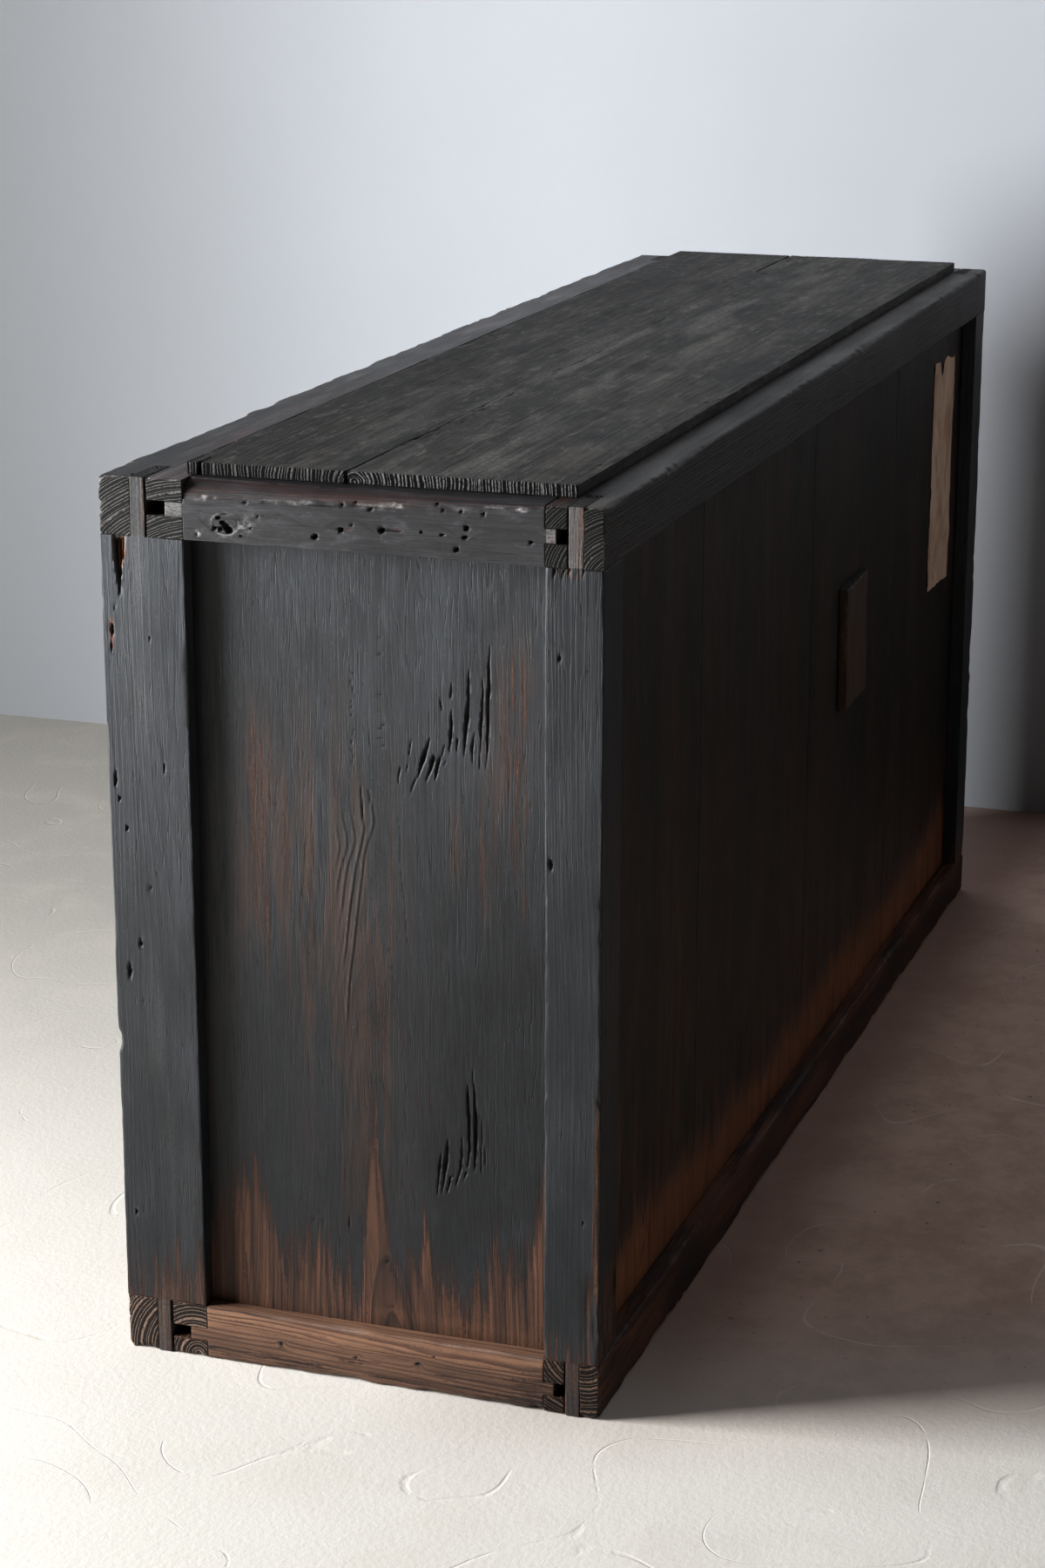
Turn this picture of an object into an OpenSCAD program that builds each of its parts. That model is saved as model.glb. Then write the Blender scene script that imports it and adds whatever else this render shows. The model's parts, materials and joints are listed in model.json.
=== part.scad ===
// Low tansu chest: an open-bridled softwood frame with recessed boards, two sliding doors and two drawers.
// X runs along the chest, Y from its front (minus) to its back (plus), Z up from the floor.

/* [Frame] */
// Length of the frame
frame_l = 1515; // [1300:5:1800]
// Depth of the frame, front face to back face
frame_d = 437; // [400:1:520]
// Height of the frame without the top board
frame_h = 785; // [720:1:900]
// Height of every long rail and end rail
rail_h = 50; // [46:1:60]
// Width of every post along the chest
post_w = 50; // [46:1:60]
// Depth of the front rails and posts, which hold both door tracks
front_t = 76; // [74:1:90]
// Depth of the back rails and posts
back_t = 49; // [46:1:60]

/* [Corner joints] */
// Thickness of the posts' tenons
tenon_t = 12.5; // [10:0.5:16]
// Wood outside the front tenon
front_cheek = 29; // [24:1:34]
// Wood outside the back tenon
back_cheek = 17; // [14:1:20]
// Play beside a tenon, in the rail's slot
slot_play = 2; // [0.5:0.5:3]
// Thickness of the end rails' tenons
stub_t = 12; // [8:1:16]
// Height of those tenons above the underside of a top rail
stub_rise_top = 19; // [14:1:24]
// Height of those tenons above the underside of a bottom rail
stub_rise_bottom = 16; // [8:1:20]
// Length of an end rail's tenon into the front rail
stub_front = 16; // [10:1:24]
// Length of an end rail's tenon into the back rail
stub_back = 9.5; // [6:0.5:14]
// Waney edge of the visible top end rail, at its front
wane_front = 17; // [4:1:18]
// Waney edge of the visible top end rail, at its back
wane_back = 4; // [2:1:12]

/* [Boards] */
// Depth of the end and back boards behind the faces of the frame
recess = 16; // [12:1:18]
// Thickness of the end and back boards
board_t = 12; // [9:1:14]
// Depth of the grooves that hold the boards
groove = 7; // [5:1:8]
// Play of a board's edge at the bottom of its groove
edge_play = 0.8; // [0.4:0.1:1]
// Open seam between two neighbouring boards
seam_gap = 0.8; // [0.4:0.1:1.5]
// Width of the first back board, at the right end
back_board_1_w = 292; // [220:1:320]
// Width of the second back board
back_board_2_w = 405; // [300:1:420]
// Width of the third back board
back_board_3_w = 370; // [280:1:380]

/* [Top board] */
// Thickness of the top board
top_t = 11; // [9:1:20]
// Top board behind the front face, at the right end
top_front_right = 70; // [50:1:74]
// Top board behind the front face, at the left end
top_front_left = 62; // [50:1:74]
// Top board before the back face
top_back = 33; // [20:1:42]
// Top board short of the right end, at its front corner
top_right_front = 24; // [10:1:40]
// Top board short of the right end, at its back corner
top_right_back = 34; // [10:1:40]
// Top board short of the left end
top_left = 30; // [10:1:40]
// Distance of the long end checks from the board's front edge
check_y = 140; // [100:1:180]
// Width of a check at the board's end
check_w = 1.6; // [0.8:0.1:2.5]
// Length of the check at the right end
check_right_l = 270; // [100:5:400]
// Length of the check at the left end
check_left_l = 150; // [80:5:300]
// Width of the sliver beside the short check at the right front corner
sliver_w = 12; // [8:1:16]
// Length of that short check
sliver_l = 18; // [10:1:40]

/* [Patch and label] */
// Width of the wooden patch block
patch_w = 90; // [60:1:110]
// Height of the patch block
patch_h = 134; // [90:1:160]
// Thickness of the patch block
patch_t = 9.5; // [6:0.5:12]
// Middle of the patch block, from the seam on its right
patch_in = 166.5; // [60:0.5:220]
// Middle of the patch block above the bottom rail
patch_up = 416; // [250:1:440]
// Lean of the patch block
patch_lean = 2.5; // [0:0.5:5]
// Width of the paper label
label_w = 114; // [80:1:130]
// Height of the paper label
label_h = 276; // [200:1:320]
// Thickness of the paper label
label_t = 0.4; // [0.3:0.1:1]
// Distance of the label from the left post
label_in = 43.5; // [10:0.5:120]
// Distance of the label below the top rail
label_down = 33; // [10:1:120]

/* [Floor] */
// Thickness of the floor boards
floor_t = 12; // [9:1:15]
// Depth of the rabbets that carry the floor and the deck
rabbet = 8; // [6:1:9]
// Width of a floor batten
batten_w = 40; // [30:1:60]
// Height of a floor batten
batten_h = 24; // [16:1:28]
// Depth of a batten's housing in the rails
batten_in = 8; // [6:1:12]
// Distance between floor battens
batten_step = 460; // [300:5:520]

/* [Deck] */
// Height of the drawer opening
drawer_open_h = 150; // [120:1:180]
// Height of the middle rails
middle_h = 36; // [32:1:45]
// Thickness of the deck under the drawers
deck_t = 10; // [8:1:12]
// Width of the upright between the drawers
divider_w = 36; // [30:1:50]
// Thickness of the middle rails' and the upright's tenons
small_tenon_t = 12; // [8:1:14]
// Length of those tenons
small_tenon_l = 14; // [8:1:18]
// Height of a drawer guide above the deck
guide_h = 40; // [25:1:60]

/* [Doors] */
// Thickness of a door
door_t = 20; // [18:1:21]
// Play of a door in its track, both faces together
door_play = 1; // [0.6:0.1:1.5]
// Wood in front of the front track
track_lip = 9; // [8:1:12]
// Wood between the two tracks
track_mid = 9; // [8:1:10]
// Depth of the tracks in the bottom rail
track_low = 5; // [4:1:8]
// Depth of the tracks in the middle rail
track_high = 14; // [12:1:18]
// Gap above a door, which lets it be lifted out
lift_play = 8; // [7:1:10]
// Width of a door's upright, and of the doors' overlap
stile_w = 45; // [40:1:60]
// Height of a door's top and bottom rails
door_rail_h = 60; // [50:1:80]
// Thickness of a door's panel
door_panel_t = 8; // [6:1:10]
// Width of the finger pull cut in the stile
finger_w = 16; // [12:1:20]
// Height of the finger pull
finger_h = 72; // [50:1:100]
// Depth of the finger pull
finger_d = 9; // [6:1:12]

/* [Drawers] */
// Gap between a drawer and the back boards
drawer_back_gap = 21; // [14:1:80]
// Thickness of a drawer front
drawer_front_t = 20; // [16:1:24]
// Thickness of a drawer's sides and back
drawer_side_t = 12; // [10:1:15]
// Thickness of a drawer's bottom
drawer_bottom_t = 8; // [6:1:9]
// Height of the bottom above the sides' lower edges
drawer_bottom_up = 6; // [4:1:10]
// Groove depth for the drawer bottom
drawer_groove = 6; // [4:1:7]
// Gap beside a drawer, on each side
drawer_gap = 1.5; // [1:0.1:3]
// Gap above a drawer
drawer_top_gap = 2.5; // [1.5:0.5:5]
// Drawer fronts behind the front face
drawer_set = 3; // [0:0.5:6]

/* [Handles] */
// Distance between the two eyes of a handle
eye_span = 90; // [70:1:120]
// Outer radius of an eye
eye_r = 7; // [6:0.5:9]
// Width of an eye
eye_w = 8; // [6:0.5:10]
// Distance of an eye's centre from the drawer front
eye_out = 12; // [11:0.5:16]
// Radius of the plate behind an eye
plate_r = 15; // [12:0.5:20]
// Thickness of that plate
plate_t = 1.6; // [1:0.1:3]
// Radius of an eye's stem
stem_r = 3.4; // [2.8:0.1:3.8]
// Radius of the handle's bar
bar_r = 3.5; // [3:0.5:4.5]
// Radius of the handle's ends, which turn in the eyes
pivot_r = 3; // [2.5:0.1:3.5]
// Clearance of those ends in the eyes
pivot_play = 0.1; // [0.05:0.01:0.3]
// Drop of the handle's grip below the eyes
drop = 34; // [28:1:45]
// Bend radius of the handle, at the middle of its bar
bend_r = 12; // [8:1:16]

/* [Nails] */
// Radius of a nail's head
nail_head_r = 2.6; // [2:0.1:4]
// Thickness of a nail's head
nail_head_t = 0.8; // [0.5:0.1:1]
// Radius of a nail's shank
nail_r = 1.2; // [0.8:0.1:1.5]
// Length of the nails in the top board
nail_l = 34; // [25:1:40]
// Length of the nails in the patch block
patch_nail_l = 17; // [14:1:20]
// Distance of the nails from the inner faces of the rails
nail_in = 5; // [3:1:6]

/* [Hidden] */

$fn = 48;

// A cut runs this far past the face that it opens
over = 1;
// Height at which a moving piece stands above what carries it
seat = 0.3;
// Play of a tenon's end in its mortise
tenon_play = 1;
// Play of the doors and the drawers' panels in their own grooves
panel_play = 0.5;
// Wood beside a hidden tenon, between it and the face of its piece
shoulder = 4;
// Wood above and below the tenons of a door's rails
door_shoulder = 12;

// Finishes
soot = "#33363a";
soot_dark = "#242527";
soot_top = "#403f3f";
bare = "#6b4a33";
patch_brown = "#4a3a31";
old_paper = "#cdb597";
inner_wood = "#8a6b4e";
door_wood = "#3a2d26";
iron = "#2a2725";

// The handles stand proud of the front, and the origin is in the middle of the whole
proud = eye_out + eye_r - drawer_set;
y_front = proud / 2 - frame_d / 2;
y_back = y_front + frame_d;
y_front_in = y_front + front_t;
y_back_in = y_back - back_t;
x_end = frame_l / 2;
x_in = x_end - post_w;
z_sill = rail_h;
z_head = frame_h - rail_h;

// Outer and inner faces of the recessed boards
x_panel = x_end - recess;
x_panel_in = x_panel - board_t;
y_boards = y_back - recess;
y_boards_in = y_boards - board_t;

// Faces of the posts' tenons
y_front_tenon = y_front + front_cheek;
y_back_tenon = y_back - back_cheek;

// Seams of the back boards
seam_1 = x_in - back_board_1_w;
seam_2 = seam_1 - back_board_2_w;
seam_3 = seam_2 - back_board_3_w;

// Middles of the patch block and of the label
patch_x = seam_2 - patch_in;
patch_z = z_sill + patch_up;
label_x = -x_in + label_in + label_w / 2;
label_z = z_head - label_down - label_h / 2;

// Heights inside
z_drawer = z_head - drawer_open_h;
z_middle = z_drawer - middle_h;
z_deck = z_drawer - deck_t;
z_floor = z_sill - floor_t;

// Tracks and doors
track_w = door_t + door_play;
y_track_front = y_front + track_lip;
y_track_back = y_track_front + track_w + track_mid;
z_door = z_sill - track_low + seat;
z_door_top = z_middle + track_high - lift_play;
x_shut = x_in - seat;
door_w = x_shut + stile_w / 2;

// Drawers
drawer_x_in = divider_w / 2 + drawer_gap;
drawer_x_out = x_in - drawer_gap;
y_drawer = y_front + drawer_set;
y_drawer_back = y_boards_in - drawer_back_gap;
z_drawer_low = z_drawer + seat;
z_drawer_top = z_head - drawer_top_gap;
z_bottom_low = z_drawer_low + drawer_bottom_up;
z_bottom_top = z_bottom_low + drawer_bottom_t;

// Handles
handle_x = (drawer_x_in + drawer_x_out) / 2;
handle_y = y_drawer - eye_out;
handle_z = (z_drawer_low + z_drawer_top) / 2 + drop / 3;
arm_x = eye_span / 2 + eye_w / 2 + pivot_play + bar_r;

// A block from its lowest to its highest corner
module block(x0, x1, y0, y1, z0, z1) {
    translate([x0, y0, z0]) cube([x1 - x0, y1 - y0, z1 - z0]);
}

// The same thing at both ends of the chest
module both_ends() {
    children();
    mirror([1, 0, 0]) children();
}

// The left copy of a piece made for the right end
module at_side(side) {
    mirror([side < 0 ? 1 : 0, 0, 0]) children();
}

// Space of the end boards in the frame's grooves
module end_panel_space() {
    block(x_panel_in, x_panel, y_front_in - groove, y_back_in + groove, z_sill - groove, z_head + groove);
}

// Space of the back boards in the frame's grooves
module back_board_space() {
    block(-x_in - groove, x_in + groove, y_boards_in, y_boards, z_sill - groove, z_head + groove);
}

// Slots in a long rail's ends for the posts' tenons, y0 being the near face of the tenon
module tenon_slots(y0, y1, z0) {
    both_ends() block(x_in, x_end + over, y0, y1, z0 - over, z0 + rail_h + over);
}

// Level mortises in a long rail's ends for the end rails' tenons
module stub_slots(y0, y1, z0) {
    both_ends() block(x_in, x_end + over, y0, y1, z0, z0 + stub_t);
}

// Sockets of the floor battens in both bottom rails
module batten_sockets() {
    for (i = [-1:1]) batten_body(i);
}

module batten_body(i) {
    block(i * batten_step - batten_w / 2, i * batten_step + batten_w / 2,
        y_front_in - batten_in, y_back_in + batten_in, z_floor - batten_h, z_floor);
}

// Space of the floor in the bottom rails' rabbets
module floor_space() {
    block(-x_in - rabbet, x_in + rabbet, y_front_in - rabbet, y_back_in + rabbet, z_floor, z_sill + over);
}

// Space of the deck in the middle rails' rabbets
module deck_space() {
    block(-x_in, x_in, y_front_in - rabbet, y_back_in + rabbet, z_deck, z_drawer + over);
}

// Both door tracks, cut into a rail that lies between z0 and z1
module tracks(z0, z1) {
    block(-x_in, x_in, y_track_front, y_track_front + track_w, z0, z1);
    block(-x_in, x_in, y_track_back, y_track_back + track_w, z0, z1);
}

// Places of the top board's nails: x, y
nail_rows = [
    for (x = [-0.9, -0.45, 0, 0.45, 0.9]) [x * x_in, y_back_in + nail_in],
    for (x = [-0.9, -0.45, 0, 0.45, 0.9]) [x * x_in, y_front_in - nail_in / 2],
    for (side = [-1, 1], y = [-0.2, 0.45]) [side * (x_in + nail_in), y * (y_back_in - y_front_in)],
];

module nail(length) {
    translate([0, 0, -nail_head_t]) cylinder(r = nail_head_r, h = nail_head_t);
    translate([0, 0, -length]) cylinder(r = nail_r, h = length - nail_head_t / 2);
}

// Nails of the top board
module top_nails() {
    for (p = nail_rows) translate([p.x, p.y, frame_h + top_t]) nail(nail_l);
}

// Puts things on the face of the patch block, which leans a little
module on_patch() {
    translate([patch_x, y_boards + patch_t, patch_z]) rotate([0, patch_lean, 0]) children();
}

// Nails of the patch block, in opposite corners
module patch_nails() {
    on_patch() for (side = [-1, 1])
        translate([side * (patch_w / 2 - 12), 0, side * (patch_h / 2 - 14)]) rotate([-90, 0, 0])
            nail(patch_nail_l);
}

module front_top_rail() {
    color(soot) difference() {
        block(-x_end, x_end, y_front, y_front_in, z_head, frame_h);
        tenon_slots(y_front_tenon, y_front_tenon + tenon_t + slot_play, z_head);
        stub_slots(y_front_tenon + tenon_t, y_front_in + over, z_head + stub_rise_top);
        both_ends() end_panel_space();
        divider_tenons();
        top_nails();
    }
}

module front_bottom_rail() {
    color(soot_dark) difference() {
        block(-x_end, x_end, y_front, y_front_in, 0, z_sill);
        tenon_slots(y_front_tenon, y_front_tenon + tenon_t + slot_play, 0);
        stub_slots(y_front_tenon + tenon_t, y_front_in + over, stub_rise_bottom);
        both_ends() end_panel_space();
        tracks(z_sill - track_low, z_sill + over);
        floor_space();
        batten_sockets();
    }
}

module back_top_rail() {
    color(soot_dark) difference() {
        block(-x_end, x_end, y_back_in, y_back, z_head, frame_h);
        tenon_slots(y_back_tenon - tenon_t - slot_play / 2, y_back_tenon, z_head);
        stub_slots(y_back_in - over, y_back_tenon - tenon_t, z_head + stub_rise_top);
        both_ends() end_panel_space();
        back_board_space();
        top_nails();
    }
}

module back_bottom_rail() {
    color(bare) difference() {
        block(-x_end, x_end, y_back_in, y_back, 0, z_sill);
        tenon_slots(y_back_tenon - tenon_t - slot_play / 2, y_back_tenon, 0);
        stub_slots(y_back_in - over, y_back_tenon - tenon_t, stub_rise_bottom);
        both_ends() end_panel_space();
        back_board_space();
        floor_space();
        batten_sockets();
    }
}

module front_post(side) {
    color(soot) at_side(side) difference() {
        union() {
            block(x_in, x_end, y_front, y_front_in, z_sill, z_head);
            block(x_in, x_end, y_front_tenon, y_front_tenon + tenon_t, 0, frame_h);
        }
        end_panel_space();
        middle_rail_tenon();
        runner_tenons();
    }
}

module back_post(side) {
    color(soot) at_side(side) difference() {
        union() {
            block(x_in, x_end, y_back_in, y_back, z_sill, z_head);
            block(x_in, x_end, y_back_tenon - tenon_t, y_back_tenon, 0, frame_h);
        }
        end_panel_space();
        back_board_space();
        middle_back_tenon();
        runner_tenons();
    }
}

// An end rail at height z0 with its two tenons at height z1
module end_rail(z0, z1) {
    block(x_in, x_end, y_front_in, y_back_in, z0, z0 + rail_h);
    block(x_in, x_end, y_front_in - stub_front, y_back_in + stub_back, z1, z1 + stub_t);
}

// The rounded natural edge that the tree left on the visible top end rail
module wane() {
    hull() {
        wane_corner(y_front_in - over, wane_front);
        wane_corner(y_back_in + over, wane_back);
    }
}

module wane_corner(y, size) {
    translate([x_end, y, frame_h]) rotate([90, 0, 0]) linear_extrude(height = 0.01)
        polygon([[-size, 0], [-size, over], [over, over], [over, -size], [0, -size], [-size / 4, -size / 4]]);
}

module end_top_rail_right() {
    color(soot) difference() {
        end_rail(z_head, z_head + stub_rise_top);
        end_panel_space();
        wane();
        top_nails();
    }
}

module end_top_rail_left() {
    color(soot) difference() {
        at_side(-1) end_rail(z_head, z_head + stub_rise_top);
        at_side(-1) end_panel_space();
        top_nails();
    }
}

module end_bottom_rail(side) {
    color(bare) at_side(side) difference() {
        end_rail(0, stub_rise_bottom);
        end_panel_space();
        floor_space();
    }
}

module end_panel(side) {
    fit = groove - edge_play;
    color(soot) at_side(side)
        block(x_panel_in, x_panel, y_front_in - fit, y_back_in + fit, z_sill - fit, z_head + fit);
}

// A back board between two seams or grooves
module back_board(x0, x1) {
    fit = groove - edge_play;
    color(soot_dark) block(x0, x1, y_boards_in, y_boards, z_sill - fit, z_head + fit);
}

module back_board_1() {
    back_board(seam_1 + seam_gap / 2, x_in + groove - edge_play);
}

module back_board_2() {
    back_board(seam_2 + seam_gap / 2, seam_1 - seam_gap / 2);
}

module back_board_3() {
    difference() {
        back_board(seam_3 + seam_gap / 2, seam_2 - seam_gap / 2);
        patch_nails();
    }
}

module back_board_4() {
    back_board(-x_in - groove + edge_play, seam_3 - seam_gap / 2);
}

// A thin wedge-shaped crack, open at x and closed length away, cut through the board
module end_check(x, y, length, width) {
    translate([0, 0, frame_h - over]) linear_extrude(height = top_t + 2 * over)
        polygon([[x, y - width / 2], [x - length, y], [x, y + width / 2]]);
}

module top_board() {
    y_near = y_front + top_front_right;
    y_far = y_front + top_front_left;
    color(soot_top) difference() {
        translate([0, 0, frame_h]) linear_extrude(height = top_t) polygon([
            [x_end - top_right_front, y_near],
            [x_end - top_right_back, y_back - top_back],
            [-x_end + top_left, y_back - top_back],
            [-x_end + top_left, y_far],
        ]);
        end_check(x_end, y_near + check_y, check_right_l + top_right_back, check_w);
        end_check(-x_end, y_far + check_y, -check_left_l - top_left, check_w);
        end_check(x_end, y_near + sliver_w, sliver_l + top_right_front, 2 * check_w);
        top_nails();
    }
}

module patch_block() {
    color(patch_brown) difference() {
        on_patch() block(-patch_w / 2, patch_w / 2, -patch_t, 0, -patch_h / 2, patch_h / 2);
        patch_nails();
    }
}

// A strip of paper with a torn, notched top edge
module paper_label() {
    half = label_w / 2;
    color(old_paper) translate([label_x, y_boards, label_z]) rotate([-90, 0, 0])
        linear_extrude(height = label_t) polygon([
            [-half, label_h / 2], [half, label_h / 2 - 5], [half + 1, -label_h / 2],
            [half - 30, -label_h / 2 + 3], [half - 44, -label_h / 2 + 24], [half - 56, -label_h / 2 + 8],
            [-half + 14, -label_h / 2 + 10], [-half, -label_h / 2 + 6],
        ]);
}

module nails() {
    color(iron) {
        top_nails();
        patch_nails();
    }
}

module floor_board(y0, y1) {
    fit = x_in + rabbet - edge_play;
    color(inner_wood) block(-fit, fit, y0, y1, z_floor, z_sill);
}

module floor_board_front() {
    floor_board(y_front_in - rabbet + edge_play, (y_front_in + y_back_in - seam_gap) / 2);
}

module floor_board_back() {
    floor_board((y_front_in + y_back_in + seam_gap) / 2, y_back_in + rabbet - edge_play);
}

module floor_batten(i) {
    color(inner_wood) batten_body(i);
}

// Tenons at the right end of the middle front rail, longer by their play where a post is cut
module middle_rail_tenon(play = tenon_play) {
    y = y_track_back + track_w + small_tenon_t / 4;
    block(x_in - over, x_in + small_tenon_l + play, y_track_front, y_track_front + small_tenon_t,
        z_middle + track_high, z_drawer);
    block(x_in - over, x_in + small_tenon_l + play, y - small_tenon_t, y, z_middle + track_high, z_deck);
}

module middle_back_tenon(play = tenon_play) {
    y = (y_back_in + y_boards_in) / 2;
    block(x_in - over, x_in + small_tenon_l + play, y - small_tenon_t / 2, y + small_tenon_t / 2,
        z_middle, z_deck);
}

// Tenons of the upright between the drawers, into the rails above and below
module divider_tenons(play = tenon_play) {
    y = (y_front + y_front_in) / 2;
    reach = small_tenon_l + play;
    block(-divider_w / 3, divider_w / 3, y - small_tenon_t / 2, y + small_tenon_t / 2,
        z_drawer - reach, z_head + reach);
}

// Tenons of the right runner, into both right posts
module runner_tenons(play = tenon_play) {
    reach = small_tenon_l - shoulder + play;
    block(x_in + rabbet, x_panel_in - shoulder, y_front_in - reach, y_back_in + reach,
        z_deck, z_drawer + guide_h / 2);
}

// Tenons of the centre bearer, into both middle rails
module bearer_tenons(play = tenon_play) {
    reach = rabbet + play;
    block(-divider_w / 4, divider_w / 4, y_front_in - reach, y_back_in + reach,
        z_middle + shoulder, z_deck - shoulder);
}

module middle_front_rail() {
    color(door_wood) difference() {
        union() {
            block(-x_in, x_in, y_front, y_front_in, z_middle, z_drawer);
            both_ends() middle_rail_tenon(0);
        }
        tracks(z_middle - over, z_middle + track_high);
        deck_space();
        divider_tenons();
        bearer_tenons();
    }
}

module middle_back_rail() {
    color(inner_wood) difference() {
        union() {
            block(-x_in, x_in, y_back_in, y_boards_in, z_middle, z_drawer);
            both_ends() middle_back_tenon(0);
        }
        deck_space();
        bearer_tenons();
    }
}

module deck_board() {
    side = x_in + rabbet - edge_play;
    edge = rabbet - edge_play;
    color(inner_wood) union() {
        block(-x_in + edge_play, x_in - edge_play, y_front_in - edge, y_back_in + edge, z_deck, z_drawer);
        block(-side, side, y_front_in + edge_play, y_back_in - edge_play, z_deck, z_drawer);
    }
}

module drawer_divider() {
    color(door_wood) union() {
        block(-divider_w / 2, divider_w / 2, y_front, y_front_in, z_drawer, z_head);
        divider_tenons(0);
    }
}

module centre_bearer() {
    color(inner_wood) union() {
        block(-divider_w / 2, divider_w / 2, y_front_in, y_back_in, z_middle, z_deck);
        bearer_tenons(0);
    }
}

module centre_guide() {
    color(inner_wood)
        block(-divider_w / 2, divider_w / 2, y_front_in, y_boards_in, z_drawer, z_drawer + guide_h);
}

// The strip beside the end panel that carries the deck's end and guides a drawer's outer side
module drawer_runner(side) {
    color(inner_wood) at_side(side) difference() {
        union() {
            block(x_in, x_panel_in, y_front_in, y_back_in, z_middle, z_drawer + guide_h);
            runner_tenons(0);
        }
        block(x_in - over, x_in + rabbet, y_front_in, y_back_in, z_deck, z_drawer);
    }
}

// Space of a door's panel in its frame, for the right door
module door_panel_space(y0, play) {
    y = y0 + door_t / 2;
    block(x_shut - door_w + stile_w - groove + play, x_shut - stile_w + groove - play,
        y - door_panel_t / 2, y + door_panel_t / 2,
        z_door + door_rail_h - groove + play, z_door_top - door_rail_h + groove - play);
}

// Tenons of a door's rail between its two stiles
module door_rail_tenons(y0, z0, play) {
    y = y0 + door_t / 2;
    block(x_shut - door_w + stile_w - small_tenon_l - play, x_shut - stile_w + small_tenon_l + play,
        y - door_panel_t / 2, y + door_panel_t / 2, z0 + door_shoulder, z0 + door_rail_h - door_shoulder);
}

// A finger pull with round ends, cut into the front of the stile beside the post
module finger_pull(y0) {
    x = x_shut - stile_w / 2;
    z = (z_door + z_door_top) / 2;
    straight = (finger_h - finger_w) / 2;
    block(x - finger_w / 2, x + finger_w / 2, y0 - over, y0 + finger_d, z - straight, z + straight);
    for (side = [-1, 1]) translate([x, y0 - over, z + side * straight]) rotate([-90, 0, 0])
        cylinder(r = finger_w / 2, h = finger_d + over);
}

// A door's front face lies in the middle of its track's play
function door_y(side) = (side > 0 ? y_track_front : y_track_back) + door_play / 2;

// A door's upright from x0; the one beside the post has the finger pull
module door_stile(side, x0, pull) {
    y0 = door_y(side);
    color(door_wood) at_side(side) difference() {
        block(x0, x0 + stile_w, y0, y0 + door_t, z_door, z_door_top);
        door_panel_space(y0, 0);
        door_rail_tenons(y0, z_door, tenon_play);
        door_rail_tenons(y0, z_door_top - door_rail_h, tenon_play);
        if (pull) finger_pull(y0);
    }
}

module door_closing_stile(side) {
    door_stile(side, x_shut - stile_w, true);
}

module door_inner_stile(side) {
    door_stile(side, x_shut - door_w, false);
}

module door_rail(side, z0) {
    y0 = door_y(side);
    color(door_wood) at_side(side) difference() {
        union() {
            block(x_shut - door_w + stile_w, x_shut - stile_w, y0, y0 + door_t, z0, z0 + door_rail_h);
            door_rail_tenons(y0, z0, 0);
        }
        door_panel_space(y0, 0);
    }
}

module door_panel(side) {
    color(bare) at_side(side) door_panel_space(door_y(side), panel_play);
}

// Space of a right drawer's bottom in its grooves
module drawer_bottom_space(play) {
    sides = drawer_side_t - drawer_groove + play;
    block(drawer_x_in + sides, drawer_x_out - sides,
        y_drawer + drawer_front_t - drawer_groove + play, y_drawer_back,
        z_bottom_low, z_bottom_top);
}

// A drawer's side lies in a rabbet of the front, which leaves this much wood before it
front_skin = drawer_front_t - drawer_side_t;

module front_rabbet(x0, x1) {
    block(x0, x1, y_drawer + front_skin, y_drawer + drawer_front_t + over,
        z_drawer_low - over, z_drawer_top + over);
}

module drawer_front(side) {
    color(door_wood) at_side(side) difference() {
        block(drawer_x_in, drawer_x_out, y_drawer, y_drawer + drawer_front_t, z_drawer_low, z_drawer_top);
        front_rabbet(drawer_x_in - over, drawer_x_in + drawer_side_t);
        front_rabbet(drawer_x_out - drawer_side_t, drawer_x_out + over);
        drawer_bottom_space(0);
        for (eye = [-1, 1]) translate([handle_x + eye * eye_span / 2, y_drawer - over, handle_z])
            rotate([-90, 0, 0]) cylinder(r = stem_r, h = drawer_front_t + 2 * over);
    }
}

module drawer_side(side, x0) {
    color(inner_wood) at_side(side) difference() {
        block(x0, x0 + drawer_side_t, y_drawer + front_skin, y_drawer_back, z_drawer_low, z_drawer_top);
        drawer_bottom_space(0);
    }
}

module drawer_back(side) {
    color(inner_wood) at_side(side)
        block(drawer_x_in + drawer_side_t, drawer_x_out - drawer_side_t,
            y_drawer_back - drawer_side_t, y_drawer_back, z_bottom_top, z_drawer_top);
}

module drawer_bottom(side) {
    color(inner_wood) at_side(side) drawer_bottom_space(panel_play);
}

// The two eyes of a handle, each with its round plate and its stem through the drawer front
module drawer_eyes(side) {
    color(iron) at_side(side) for (eye = [-1, 1])
        translate([handle_x + eye * eye_span / 2, handle_y, handle_z]) difference() {
            union() {
                rotate([0, 90, 0]) cylinder(r = eye_r, h = eye_w, center = true);
                rotate([-90, 0, 0]) cylinder(r = stem_r, h = eye_out + drawer_front_t);
                translate([0, eye_out - plate_t, 0]) rotate([-90, 0, 0]) cylinder(r = plate_r, h = plate_t);
            }
            rotate([0, 90, 0]) cylinder(r = pivot_r + pivot_play, h = eye_w + 2 * over, center = true);
        }
}

// A quarter bend of the handle's bar
module bar_bend() {
    rotate([90, 0, 0]) rotate_extrude(angle = 90) translate([bend_r, 0]) circle(r = bar_r);
}

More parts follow.
